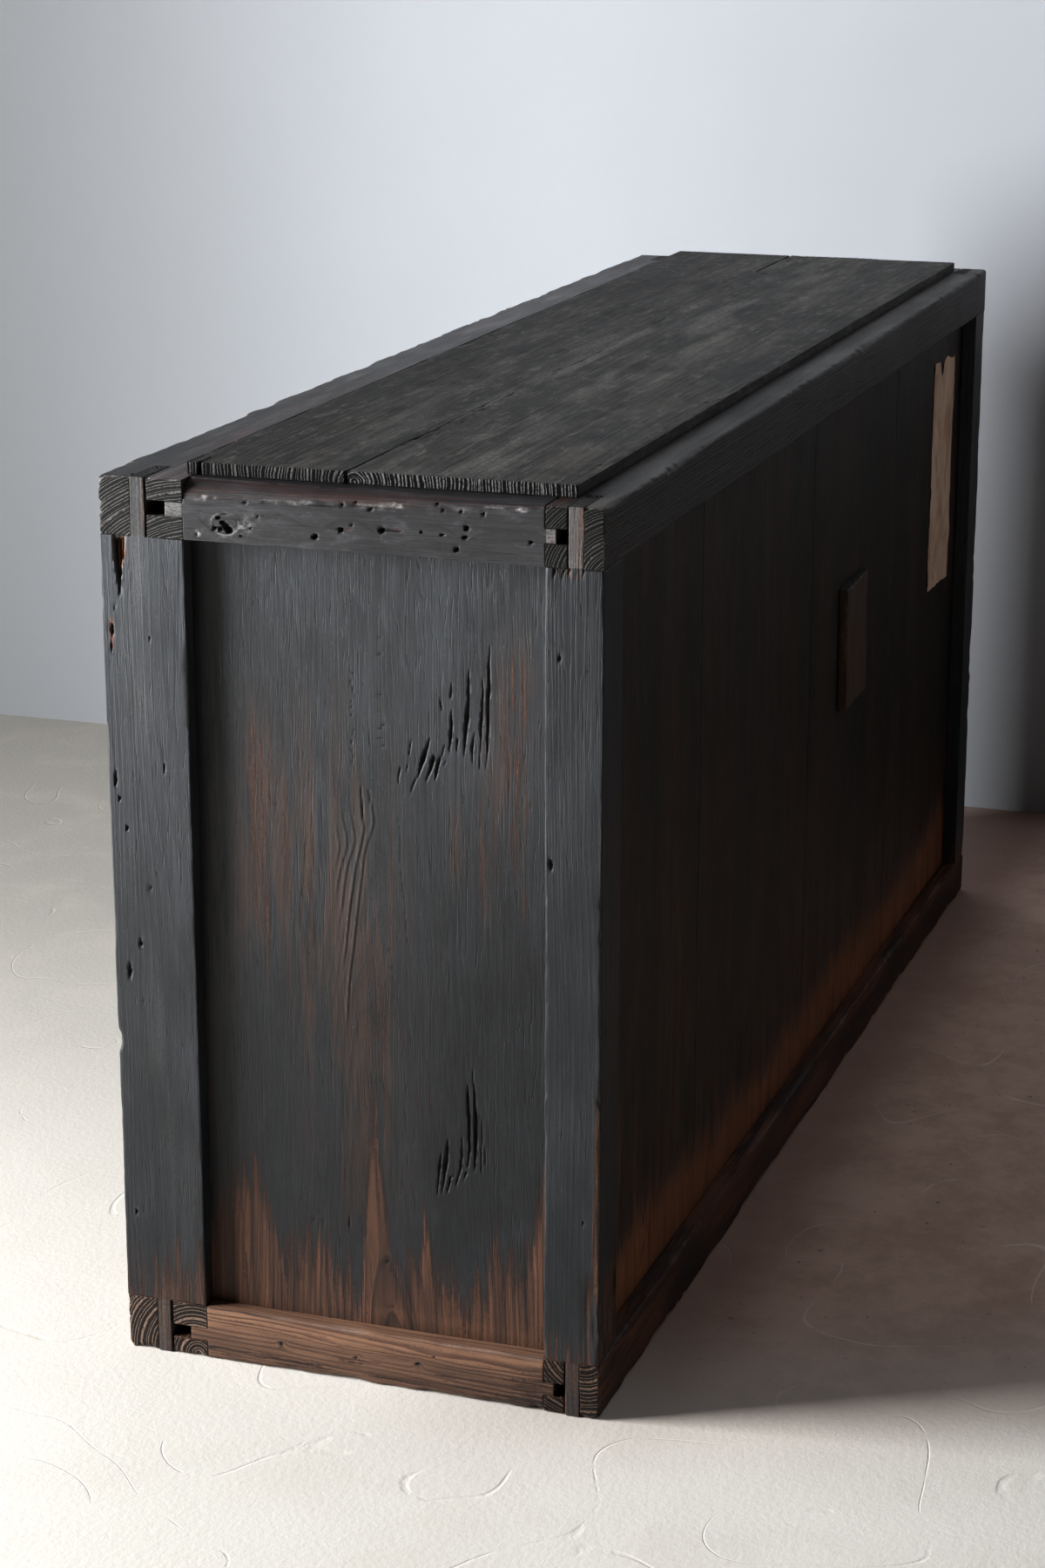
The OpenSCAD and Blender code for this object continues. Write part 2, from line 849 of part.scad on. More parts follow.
// The hanging handle: a grip, two bends, two arms and two ends that turn in the eyes
module drawer_handle(side) {
    flat = arm_x - bend_r;
    color(iron) at_side(side) translate([handle_x, handle_y, handle_z]) union() {
        translate([-flat, 0, -drop]) rotate([0, 90, 0]) cylinder(r = bar_r, h = 2 * flat);
        for (end = [-1, 1]) mirror([end < 0 ? 1 : 0, 0, 0]) {
            translate([flat, 0, -drop + bend_r]) mirror([0, 0, 1]) bar_bend();
            translate([arm_x, 0, -drop + bend_r]) cylinder(r = bar_r, h = drop - bend_r);
            translate([arm_x, 0, 0]) sphere(r = bar_r);
            translate([eye_span / 2 - eye_w / 2 - 1, 0, 0]) rotate([0, 90, 0])
                cylinder(r = pivot_r, h = arm_x - eye_span / 2 + eye_w / 2 + 1);
        }
    }
}

front_top_rail();
front_bottom_rail();
back_top_rail();
back_bottom_rail();
front_post(1);  // front_post_right
front_post(-1);  // front_post_left
back_post(1);  // back_post_right
back_post(-1);  // back_post_left
end_top_rail_right();
end_top_rail_left();
end_bottom_rail(1);  // end_bottom_rail_right
end_bottom_rail(-1);  // end_bottom_rail_left
end_panel(1);  // end_panel_right
end_panel(-1);  // end_panel_left
back_board_1();
back_board_2();
back_board_3();
back_board_4();
top_board();
patch_block();
paper_label();
nails();
floor_board_front();
floor_board_back();
floor_batten(-1);  // floor_batten_1
floor_batten(0);  // floor_batten_2
floor_batten(1);  // floor_batten_3
middle_front_rail();
middle_back_rail();
deck_board();
drawer_divider();
centre_bearer();
centre_guide();
drawer_runner(1);  // drawer_runner_right
drawer_runner(-1);  // drawer_runner_left
door_closing_stile(1);  // door_right_closing_stile
door_inner_stile(1);  // door_right_inner_stile
door_rail(1, z_door_top - door_rail_h);  // door_right_top_rail
door_rail(1, z_door);  // door_right_bottom_rail
door_panel(1);  // door_right_panel
door_closing_stile(-1);  // door_left_closing_stile
door_inner_stile(-1);  // door_left_inner_stile
door_rail(-1, z_door_top - door_rail_h);  // door_left_top_rail
door_rail(-1, z_door);  // door_left_bottom_rail
door_panel(-1);  // door_left_panel
drawer_front(1);  // drawer_right_front
drawer_side(1, drawer_x_out - drawer_side_t);  // drawer_right_side_outer
drawer_side(1, drawer_x_in);  // drawer_right_side_inner
drawer_back(1);  // drawer_right_back
drawer_bottom(1);  // drawer_right_bottom
drawer_eyes(1);  // drawer_right_eyes
drawer_handle(1);  // drawer_right_handle
drawer_front(-1);  // drawer_left_front
drawer_side(-1, drawer_x_out - drawer_side_t);  // drawer_left_side_outer
drawer_side(-1, drawer_x_in);  // drawer_left_side_inner
drawer_back(-1);  // drawer_left_back
drawer_bottom(-1);  // drawer_left_bottom
drawer_eyes(-1);  // drawer_left_eyes
drawer_handle(-1);  // drawer_left_handle
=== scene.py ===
"""Dresses the chest: every wooden piece is rebuilt over its solid with worn edges, tears, holes and its grain."""
import json
import math
import bpy
import numpy as np
from mathutils import Matrix, Vector
from mathutils.bvhtree import BVHTree


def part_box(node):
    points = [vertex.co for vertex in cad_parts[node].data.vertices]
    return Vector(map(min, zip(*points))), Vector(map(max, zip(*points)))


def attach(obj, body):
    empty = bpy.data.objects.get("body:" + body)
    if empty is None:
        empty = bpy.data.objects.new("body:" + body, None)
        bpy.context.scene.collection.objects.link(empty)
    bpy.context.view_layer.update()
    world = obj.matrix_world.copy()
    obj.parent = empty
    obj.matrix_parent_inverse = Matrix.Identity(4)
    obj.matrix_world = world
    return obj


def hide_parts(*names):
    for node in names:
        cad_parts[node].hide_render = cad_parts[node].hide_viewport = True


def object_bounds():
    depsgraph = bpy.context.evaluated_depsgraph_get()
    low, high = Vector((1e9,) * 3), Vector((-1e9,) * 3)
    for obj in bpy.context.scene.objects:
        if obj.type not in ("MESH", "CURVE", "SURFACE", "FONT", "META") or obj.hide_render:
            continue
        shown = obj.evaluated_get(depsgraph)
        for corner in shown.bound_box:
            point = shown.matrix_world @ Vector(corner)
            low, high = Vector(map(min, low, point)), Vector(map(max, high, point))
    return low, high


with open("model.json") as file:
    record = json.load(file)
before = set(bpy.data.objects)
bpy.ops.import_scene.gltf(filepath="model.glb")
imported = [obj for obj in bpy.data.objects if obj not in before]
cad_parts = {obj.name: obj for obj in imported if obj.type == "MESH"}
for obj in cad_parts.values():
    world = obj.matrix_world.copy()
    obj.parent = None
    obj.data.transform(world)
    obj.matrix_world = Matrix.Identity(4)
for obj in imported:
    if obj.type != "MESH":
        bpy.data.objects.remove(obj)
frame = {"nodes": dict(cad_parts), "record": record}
cad_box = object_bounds()

# Everything below is in millimetres until a mesh is written
MM = 0.001
# Degrees from which an edge is shaded sharp
ARRIS_ANGLE, PAPER_ANGLE = 48, 50
COARSER = 1.0


def extent(node):
    """Lowest and highest corner of a node's box."""
    lo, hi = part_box(node)
    return np.array(lo) / MM, np.array(hi) / MM


(_, Y_FRONT, Z_HEAD), (X_END, Y_FRONT_IN, FRAME_H) = extent("front_top_rail")
Y_BACK_IN = extent("back_top_rail")[0][1]
RAIL_H = extent("end_bottom_rail_right")[1][2]
X_PANEL = extent("end_panel_right")[1][0]
Y_BOARDS = extent("back_board_1")[1][1]


# Noise and shaping

def lattice(i, j, k, seed):
    h = (i * 73856093 ^ j * 19349663 ^ k * 83492791 ^ seed * 26544357) & 0xFFFFFFFF
    h = (h ^ (h >> 15)) * 0x2C1B3C6D & 0xFFFFFFFF
    h = (h ^ (h >> 12)) * 0x297A2D39 & 0xFFFFFFFF
    return (h ^ (h >> 15)) / 2.0 ** 31 - 1


def noise(p, size, seed):
    """Smooth noise from -1 to 1. size is one swell along each axis."""
    q = p / np.asarray(size, float)
    cell = np.floor(q).astype(np.int64)
    f = q - cell
    f = f * f * f * (f * (f * 6 - 15) + 10)
    total = np.zeros(len(p))
    for corner in range(8):
        step = np.array([corner & 1, corner >> 1 & 1, corner >> 2 & 1])
        weight = np.prod(np.where(step, f, 1 - f), axis=1)
        total += weight * lattice(*(cell + step).T, seed)
    return total


def rough_noise(p, size, seed):
    """Three layers of noise, each half the size and strength of the one before."""
    total, size = np.zeros(len(p)), np.asarray(size, float)
    for n in range(3):
        total += noise(p, size / 2 ** n, seed + n) / 2 ** n
    return total


def ramp(v, a, b):
    """0 at a, 1 at b, smooth between them."""
    t = unit((v - a) / (b - a))
    return t * t * (3 - 2 * t)


def unit(v):
    return np.clip(v, 0, 1)


def blob(*axes, power=4):
    """1 at a centre, falling to 0 round it. Each axis is a place, its centre and its reach."""
    return np.exp(-sum(((v - centre) / reach) ** power for v, centre, reach in axes))


def length_of(vectors):
    return np.maximum(np.linalg.norm(vectors, axis=1), 1e-9)[:, None]


# Objects

def add_object(name, data):
    obj = bpy.data.objects.new(name, data)
    bpy.context.scene.collection.objects.link(obj)
    return obj


def finish_mesh(mesh, angle, material):
    mesh.validate()
    mesh.shade_smooth()
    mesh.set_sharp_from_angle(angle=math.radians(angle))
    mesh.materials.append(material)


# A wooden piece as a grid skin over its solid

def coordinates(mesh):
    return np.array([v.co for v in mesh.vertices]) / MM


def is_straight(poly):
    """Whether a face is parallel to two axes."""
    return max(abs(c) for c in poly.normal) > 0.99999


def marks_of(mesh, round_too):
    """Coordinates of the solid's flat, axis-parallel faces, and the limits of its round ones where they count."""
    co = coordinates(mesh)
    flat, curved = set(), set()
    for poly in mesh.polygons:
        target = flat if is_straight(poly) else curved
        target.update(tuple(np.round(co[i], 2)) for i in poly.vertices)
    kept = np.array(sorted(flat - curved))
    marks = [set(kept[:, axis]) for axis in range(3)]
    if round_too:
        bent = np.array(sorted(curved))
        marks = [m | {bent[:, axis].min(), bent[:, axis].max()} for axis, m in enumerate(marks)]
    return [sorted(m) for m in marks]


def inside_test(mesh):
    """A test for points inside the solid: an oblique ray from them crosses its faces an odd number of times."""
    points = [v.co / MM for v in mesh.vertices]
    tree = BVHTree.FromPolygons(points, [tuple(p.vertices) for p in mesh.polygons])
    way = Vector((0.43, 0.57, 0.7)).normalized()

    def inside(p):
        start, count = Vector(p), 0
        while count < 64:
            hit = tree.ray_cast(start, way)[0]
            if hit is None:
                break
            start, count = hit + way * 0.01, count + 1
        return count % 2 == 1

    return inside


# Distances from a mark of the lines beside it
EDGE_STEPS = (0.5, 1.2, 2.2, 3.6)
# Quads along each side of a joined pane
PANE_QUADS = 14


def grid_lines(marks, spacing):
    """Lines at every mark, close beside it, and between the marks at the wished spacing."""
    out = list(marks)
    for a, b in zip(marks, marks[1:]):
        near = [e for e in EDGE_STEPS if e < 0.4 * (b - a)]
        out += [a + e for e in near] + [b - e for e in near]
        start, stop = (a + near[-1], b - near[-1]) if near else (a, b)
        along = np.linspace(start, stop, 500)
        wished = np.broadcast_to(spacing(along) if callable(spacing) else spacing, along.shape) * COARSER
        density = np.concatenate([[0], np.cumsum((along[1] - along[0]) / ((wished[1:] + wished[:-1]) / 2))])
        count = max(1, int(round(density[-1])))
        out += list(np.interp(np.linspace(0, density[-1], count + 1), density, along))
    out = np.array(sorted(out))
    return out[np.concatenate([[True], np.diff(out) > 0.02])]


def solid_cells(node, spacing, round_too=False):
    """Grid lines along x, y and z, and which of their cells are solid."""
    mesh = frame["nodes"][node].data
    marks = marks_of(mesh, round_too)
    inside = inside_test(mesh)
    middles = [[(a + b) / 2 for a, b in zip(m, m[1:])] for m in marks]
    coarse = np.zeros([len(m) for m in middles], bool)
    for i, x in enumerate(middles[0]):
        for j, y in enumerate(middles[1]):
            for k, z in enumerate(middles[2]):
                votes = sum(inside((x + d, y + 1.7 * d, z - 1.3 * d)) for d in (0, 0.11, -0.13))
                coarse[i, j, k] = votes >= 2
    lines = [grid_lines(marks[axis], spacing[axis]) for axis in range(3)]
    index = [np.searchsorted(marks[axis], (line[1:] + line[:-1]) / 2) - 1 for axis, line in enumerate(lines)]
    return lines, coarse[np.ix_(*index)]


def skin(lines, solid):
    """Vertices and outward quads round the solid cells."""
    shape = [len(line) for line in lines]
    pad = np.pad(solid, 1)
    quads = []
    for axis in range(3):
        b, c = (axis + 1) % 3, (axis + 2) % 3
        core = [slice(1, -1)] * 3
        low, high = list(core), list(core)
        low[axis], high[axis] = slice(None, -1), slice(1, None)
        before, after = pad[tuple(low)], pad[tuple(high)]
        for sign in (1, -1):
            found = np.argwhere(before & ~after if sign > 0 else ~before & after)
            corners = []
            for db, dc in ((0, 0), (1, 0), (1, 1), (0, 1))[::sign]:
                at = found.copy()
                at[:, b] += db
                at[:, c] += dc
                corners.append((at[:, 0] * shape[1] + at[:, 1]) * shape[2] + at[:, 2])
            quads.append(np.stack(corners, 1))
    quads = np.concatenate(quads)
    used, flat = np.unique(quads, return_inverse=True)
    k, rest = used % shape[2], used // shape[2]
    verts = np.stack([lines[0][rest // shape[1]], lines[1][rest % shape[1]], lines[2][k]], 1)
    return verts, flat.reshape(-1, 4)


def quad_normals(verts, quads):
    n = np.cross(verts[quads[:, 2]] - verts[quads[:, 0]], verts[quads[:, 3]] - verts[quads[:, 1]])
    return n / length_of(n)


def spread(values, quads, count):
    """Sums a value per quad onto its corners."""
    out = np.zeros((count, values.shape[1]))
    for c in range(4):
        for axis in range(values.shape[1]):
            out[:, axis] += np.bincount(quads[:, c], values[:, axis], count)
    return out


class Piece:
    """A wooden piece: its grid at rest, its worn vertices and what is painted on them."""

    def __init__(self, name, lines, solid, axis):
        self.name, self.axis = name, axis
        self.rest, self.quads = skin(lines, solid)
        self.verts = self.rest.copy()
        count = len(self.rest)
        faces = quad_normals(self.rest, self.quads)
        self.faces = spread(np.concatenate([np.maximum(faces, 0), np.maximum(-faces, 0)], 1), self.quads, count) > 0
        normals = spread(faces, self.quads, count)
        self.normal = normals / length_of(normals)
        self.lo, self.hi = self.rest.min(0), self.rest.max(0)
        # Places along the three axes, and the place that the marks on a face are given in
        self.x, self.y, self.z = self.rest.T
        self.at = self.rest
        # pit marks the hollows that the material paints near-black as shade
        self.bare, self.tint, self.pit, self.wear, self.knot = (np.zeros(count) for _ in range(5))
        self.tone = np.full(count, 0.5)
        self.end = (np.abs(self.normal[:, axis]) > 0.75).astype(float)
        self.ngons = []
        sides = [self.quads[:, [n, (n + 1) % 4]] for n in range(4)]
        self.pairs = np.unique(np.sort(np.concatenate(sides), 1), axis=0)
        # How near a vertex is to an arris
        self.near = (self.faces.sum(1) > 1).astype(float)
        a, b = self.pairs.T
        for _ in range(4):
            reach = self.near.copy()
            np.maximum.at(reach, a, self.near[b] * 0.8)
            np.maximum.at(reach, b, self.near[a] * 0.8)
            self.near = reach
        self.seed = sum(ord(c) * (n + 3) for n, c in enumerate(name)) % 9973

    def merge_face(self, axis, sign):
        """Joins the small quads of a hidden flat face into large panes; their outlines keep every vertex."""
        place = self.lo[axis] if sign < 0 else self.hi[axis]
        corner = self.rest[self.quads]
        on_face = np.all(np.abs(corner[:, :, axis] - place) < 1e-6, axis=1)
        i, j = [n for n in range(3) if n != axis]
        u, v = np.unique(corner[on_face][:, :, i]), np.unique(corner[on_face][:, :, j])
        if on_face.sum() != (len(u) - 1) * (len(v) - 1):
            return
        rows = np.flatnonzero(np.abs(self.rest[:, axis] - place) < 1e-6)
        at = {(round(a, 4), round(b, 4)): n for a, b, n in zip(self.rest[rows, i], self.rest[rows, j], rows)}
        grid = np.array([[at[(round(a, 4), round(b, 4))] for b in v] for a in u])
        turn = sign * (1 if (i + 1) % 3 == j else -1)
        for a in range(0, len(u) - 1, PANE_QUADS):
            for b in range(0, len(v) - 1, PANE_QUADS):
                pane = grid[a:a + PANE_QUADS + 1, b:b + PANE_QUADS + 1]
                ring = list(pane[:-1, 0]) + list(pane[-1, :-1]) + list(pane[:0:-1, -1]) + list(pane[0, :0:-1])
                self.ngons.append(ring if turn > 0 else ring[::-1])
        self.quads = self.quads[~on_face]

    def side(self, axis, sign):
        """Whether a vertex lies on a face that looks that way."""
        return self.faces[:, axis + (0 if sign > 0 else 3)]

    def noise(self, size, seed):
        return noise(self.rest, size, seed)

    def rough(self, size, seed):
        return rough_noise(self.rest, size, seed)

    def least(self, **values):
        """Raises what is painted to at least these values."""
        for name, value in values.items():
            setattr(self, name, np.maximum(getattr(self, name), value))

    def soften(self, rounds):
        """Wears every arris, more in some places than in others."""
        a, b = self.pairs.T
        count = len(self.verts)
        degree = np.bincount(a, minlength=count) + np.bincount(b, minlength=count)
        worn = np.clip(0.62 + 0.55 * self.rough((35, 35, 35), self.seed + 7), 0.08, 1) * self.near
        for _ in range(rounds):
            for axis in range(3):
                v = self.verts[:, axis]
                mean = (np.bincount(a, v[b], count) + np.bincount(b, v[a], count)) / degree
                self.verts[:, axis] = v + (mean - v) * worn * 0.75

    def push(self, depth, direction=None):
        """Moves the surface into the wood."""
        self.verts -= (self.normal if direction is None else direction) * np.asarray(depth)[:, None]

    def undulate(self, depth, size):
        self.push(depth * np.clip(0.5 + 0.5 * self.rough(size, self.seed + 31), 0, 1.5))

    def along(self, axis):
        """The places of the vertices along one axis alone."""
        line = np.zeros_like(self.rest)
        line[:, axis] = self.rest[:, axis]
        return line

    def wear_arris(self, faces, depth, width, size, chips):
        """Rounds the long arris between two outer faces of the whole piece, with chips along it. faces names the
        two, such as +x-z."""
        (i, si), (j, sj) = (("xyz".index(axis), 1 if sign == "+" else -1) for sign, axis in (faces[:2], faces[2:]))
        da, db = ((self.hi[n] - self.rest[:, n]) if s > 0 else (self.rest[:, n] - self.lo[n])
                  for n, s in ((i, si), (j, sj)))
        line = self.along(3 - i - j)
        swell = rough_noise(line, [size] * 3, self.seed + 101)
        bite = np.maximum(noise(line, [size / 4] * 3, self.seed + 131) - 0.42, 0) * 1.7
        bite = bite * ramp(noise(line, [size * 2.2] * 3, self.seed + 141), 0.0, 0.35)
        local = depth * np.clip(0.6 + 0.6 * swell, 0.1, 1.4) + chips * bite
        reach = width * (0.6 + 0.5 * np.clip(swell, -0.8, 1)) + 1.6 * chips * bite
        fall = unit(1 - (da + db) / np.maximum(reach, 0.6)) ** 1.5
        way = np.zeros(3)
        way[i], way[j] = si, sj
        self.verts -= way * (local * fall)[:, None]
        self.least(wear=unit(fall * local / max(depth, 0.5)) * 0.8)

    def rings(self, pith, slope, wobble, size):
        """Distance from the pith, which runs along the grain and may lean and wander."""
        i, j = [n for n in range(3) if n != self.axis]
        s = self.rest[:, self.axis]
        wander = [3 * noise(self.along(self.axis), [420] * 3, self.seed + 51 + n) for n in (0, 1)]
        da = self.rest[:, i] - pith[0] - slope[0] * s + wander[0]
        db = self.rest[:, j] - pith[1] - slope[1] * s + wander[1]
        warp_size = np.full(3, float(size[1]))
        warp_size[self.axis] = size[0]
        self.ring = np.hypot(da, db) + wobble * self.rough(warp_size, self.seed + 61)

    # The marks below lie on the vertices of rows, at places on the two axes of that face

    def off(self, axes, centre, stretch=1.0):
        """Distance from a place on a face. A stretch draws it out along the second axis."""
        return np.hypot(self.at[:, axes[0]] - centre[0], (self.at[:, axes[1]] - centre[1]) / stretch)

    def knot_at(self, rows, axes, centre, radius, reach):
        d = np.where(rows, self.off(axes, centre), 1e6)
        self.ring += reach * radius * 0.8 * np.exp(-(d / (radius * 1.6)) ** 2)
        self.least(knot=ramp(d, radius * 1.15, radius * 0.8))

    def hole_at(self, rows, axes, centre, radius, depth, stretch=1.0, dark=1.0):
        ragged = 1 + 0.25 * self.noise([2.5] * 3, self.seed + 71)
        inner = np.where(rows, ramp(self.off(axes, centre, stretch) / ragged, radius * 1.15, radius * 0.7), 0)
        self.push(depth * inner)
        self.least(pit=inner * dark)

    def tear_at(self, rows, axes, start, stop, width, depth):
        """A tear along the grain: a sharp furrow from start to stop, with a lifted lip on one side."""
        a, b = np.array(start, float), np.array(stop, float)
        run = b - a
        length = np.hypot(*run)
        da, db = self.at[:, axes[0]] - a[0], self.at[:, axes[1]] - a[1]
        u = (da * run[0] + db * run[1]) / length ** 2
        across = (da * run[1] - db * run[0]) / length + 0.35 * width * self.noise([6, 6, 9], self.seed + 81)
        ends = ramp(u, 0, 0.18) * ramp(u, 1, 0.7) * rows
        local = 0.8 * width * (0.4 + 0.6 * ramp(u, 0, 0.35) * ramp(u, 1.05, 0.6))
        furrow = unit(1 - np.abs(across) / local) ** 0.7 * ends
        lip = np.exp(-((across - local * 1.25) / (0.45 * local)) ** 2) * ends
        self.push(depth * furrow - min(0.12 * depth, 0.3) * lip)
        self.least(pit=furrow * 0.9, wear=lip * 0.5)

    def slit(self, rows, axes, path, depth, fresh=0.0):
        """A torn slit. path is (place across, place along, half width) from its low end to its high end."""
        across_at, along_at, half_at = np.array(path, float).T
        u, v = self.at[:, axes[0]], self.at[:, axes[1]]
        line = np.interp(v, along_at, across_at) + 0.35 * self.noise((9, 9, 9), self.seed + 83)
        half = np.interp(v, along_at, half_at) * (1 + 0.25 * self.noise((200, 200, 6), self.seed + 84))
        inside = rows & (v > along_at[0]) & (v < along_at[-1])
        off = np.abs(u - line) / np.maximum(half, 0.2)
        furrow = np.where(inside, unit(1.15 - off) ** 0.6, 0)
        self.push(depth * furrow * np.clip(half / max(half_at), 0.25, 1))
        lip = np.where(inside, np.exp(-((u - line + half * 1.5) / (0.5 * half + 0.3)) ** 2), 0)
        self.least(pit=unit(furrow * 1.2) * (1 - fresh), bare=fresh * furrow, wear=lip * 0.35)

    def ridge(self, rows, axes, path, width, height, shine):
        """A raised line of hard grain with a soft valley at one side; its crest is painted lighter as a highlight
        and its valley darker as painted shade.
        """
        across_at, along_at = np.array(path, float).T
        u, v = self.at[:, axes[0]], self.at[:, axes[1]]
        line = np.interp(v, along_at, across_at)
        ends = ramp(v, along_at[0] - 4, along_at[0] + 16) * ramp(v, along_at[-1] + 4, along_at[-1] - 10) * rows
        crest = np.exp(-((u - line) / width) ** 2) * ends
        valley = np.exp(-((u - line - 1.9 * width) / width) ** 2) * ends
        self.push(height * (0.6 * valley - crest))
        # painted highlight on the crest
        self.least(wear=crest * shine)
        # painted shade in the valley
        self.tone -= 0.12 * valley

    def build(self, node, material):
        """Writes the mesh, with the grain's own coordinates and what is painted, and puts it on its body."""
        mesh = bpy.data.meshes.new(self.name)
        self.verts = np.clip(self.verts, np.array(cad_box[0]) / MM, np.array(cad_box[1]) / MM)
        used = np.unique(np.concatenate([self.quads.ravel()] + [np.array(g) for g in self.ngons]))
        new_index = np.full(len(self.verts), -1)
        new_index[used] = np.arange(len(used))
        corners = np.concatenate([new_index[self.quads.ravel()]] + [new_index[g] for g in self.ngons])
        sizes = np.array([4] * len(self.quads) + [len(g) for g in self.ngons], np.int32)
        mesh.vertices.add(len(used))
        mesh.vertices.foreach_set("co", (self.verts[used] * MM).astype(np.float32).ravel())
        mesh.loops.add(len(corners))
        mesh.loops.foreach_set("vertex_index", corners.astype(np.int32))
        mesh.polygons.add(len(sizes))
        mesh.polygons.foreach_set("loop_start", np.concatenate([[0], np.cumsum(sizes)[:-1]]).astype(np.int32))
        mesh.polygons.foreach_set("loop_total", sizes)
        mesh.update(calc_edges=True)
        finish_mesh(mesh, ARRIS_ANGLE, material)
        i, j = [n for n in range(3) if n != self.axis]
        shift = self.seed * 7.3
        grain = np.stack([self.rest[:, self.axis] + shift, self.rest[:, i] + shift, self.rest[:, j]], 1)
        for title, kind, key, values in (
                ("grain", "FLOAT_VECTOR", "vector", grain), ("ring", "FLOAT", "value", self.ring),
                ("paint", "FLOAT_COLOR", "color", np.stack((self.bare, self.tint, self.pit, self.end), 1)),
                ("look", "FLOAT_COLOR", "color", np.stack((self.wear, self.knot, self.tone, self.end), 1))):
            layer = mesh.attributes.new(title, kind, "POINT")
            layer.data.foreach_set(key, values[used].astype(np.float32).ravel())
        obj = add_object(self.name, mesh)
        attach(obj, BODY[node])
        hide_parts(node)


# Width of a year's ring in the broad boards
PANEL_YEAR, BACK_YEAR, TOP_YEAR = 4.2, 3.4, 3.0


# Materials

class Value:
    """A node's output. Arithmetic on it adds math nodes."""

    def __init__(self, nodes, socket):
        self.nodes, self.socket = nodes, socket

    def __add__(self, other):
        return self.nodes.math("ADD", self, other)

    def __radd__(self, other):
        return self.nodes.math("ADD", other, self)

    def __sub__(self, other):
        return self.nodes.math("SUBTRACT", self, other)

    def __rsub__(self, other):
        return self.nodes.math("SUBTRACT", other, self)

    def __mul__(self, other):
        return self.nodes.math("MULTIPLY", self, other)

    def __truediv__(self, other):
        return self.nodes.math("DIVIDE", self, other)

    def span(self, a, b, low=0.0, high=1.0, kind="SMOOTHSTEP"):
        """low where the value is a, high where it is b."""
        settings = {"interpolation_type": kind}
        return self.nodes.add("ShaderNodeMapRange", settings, i0=self, i1=a, i2=b, i3=low, i4=high)

    def level_lines(self, count):
        """0 on the level lines of a noise, 0.5 midway between them."""
        return self.nodes.math("ABSOLUTE", self.nodes.math("FRACT", self * count) - 0.5)


class Nodes:
    """A short way to write a node tree."""

    def __init__(self, owner):
        owner.use_nodes = True
        self.owner, self.tree = owner, owner.node_tree
        self.tree.nodes.clear()

    def new(self, kind, settings=None, **inputs):
        """A node. Each input is given by its name, or by its number after an i."""
        node = self.tree.nodes.new(kind)
        for key, value in (settings or {}).items():
            setattr(node, key, value)
        for key, value in inputs.items():
            socket = node.inputs[int(key[1:]) if key[1:].isdigit() else key.replace("_", " ")]
            if isinstance(value, Value):
                self.tree.links.new(value.socket, socket)
            else:
                socket.default_value = value
        return node

    def add(self, kind, settings=None, output=0, **inputs):
        return Value(self, self.new(kind, settings, **inputs).outputs[output])

    def math(self, operation, a, b=0.0, c=0.0, clamp=False):
        return self.add("ShaderNodeMath", {"operation": operation, "use_clamp": clamp}, i0=a, i1=b, i2=c)

    def coats(self, colour, *layers):
        """Mixes layers over a colour, one after another. Each layer is its share and its colour."""
        for share, coat in layers:
            a, b = (rgb(*c) if isinstance(c, tuple) else c for c in (colour, coat))
            colour = self.add("ShaderNodeMix", {"data_type": "RGBA"}, 2, i0=share, i6=a, i7=b)
        return colour

    def noise(self, vector, stretch, detail=2.0, roughness=0.5, distortion=0.0):
        """Noise with a number of swells per unit along each axis."""
        if stretch:
            vector = self.add("ShaderNodeVectorMath", {"operation": "MULTIPLY"}, i0=vector, i1=stretch)
        return self.add("ShaderNodeTexNoise", {"noise_dimensions": "3D"}, Vector=vector, Scale=1.0, Detail=detail,
                        Roughness=roughness, Distortion=distortion)

    def curve(self, value, stops):
        node = self.new("ShaderNodeValToRGB", Fac=value)
        ends = node.color_ramp.elements
        while len(ends) < len(stops):
            ends.new(0.5)
        for element, (place, shade) in zip(ends, stops):
            element.position, element.color = place, (shade, shade, shade, 1)
        return Value(self, node.outputs[0])

    def attribute(self, name, output):
        return self.add("ShaderNodeAttribute", {"attribute_name": name}, output)

    def parts(self, kind, value):
        """The three parts of a colour or a place."""
        return [Value(self, socket) for socket in self.new(kind, i0=value).outputs[:3]]

    def place(self):
        return self.add("ShaderNodeTexCoord", None, "Object")

    def surface(self, colour, rough, height=None, strength=0.6, distance=0.0006, **others):
        if height is not None:
            others["Normal"] = self.add("ShaderNodeBump", Strength=strength, Distance=distance, Height=height)
        return self.add("ShaderNodeBsdfPrincipled", Base_Color=colour, Roughness=rough, **others)

    def finish(self, shader):
        self.new("ShaderNodeOutputMaterial", i0=shader)
        return self.owner


def rgb(r, g, b):
    """A colour written as it shows, from 0 to 255, in the linear values that nodes take."""
    return tuple(((v / 255 + 0.055) / 1.055) ** 2.4 if v > 10 else v / 255 / 12.92 for v in (r, g, b)) + (1.0,)


def shade(colour, factor):
    return tuple(v * factor for v in colour)


MATERIALS = {}


def new_nodes(name):
    MATERIALS[name] = bpy.data.materials.new(name)
    return Nodes(MATERIALS[name])


BARE_ROUGHNESS = 0.62


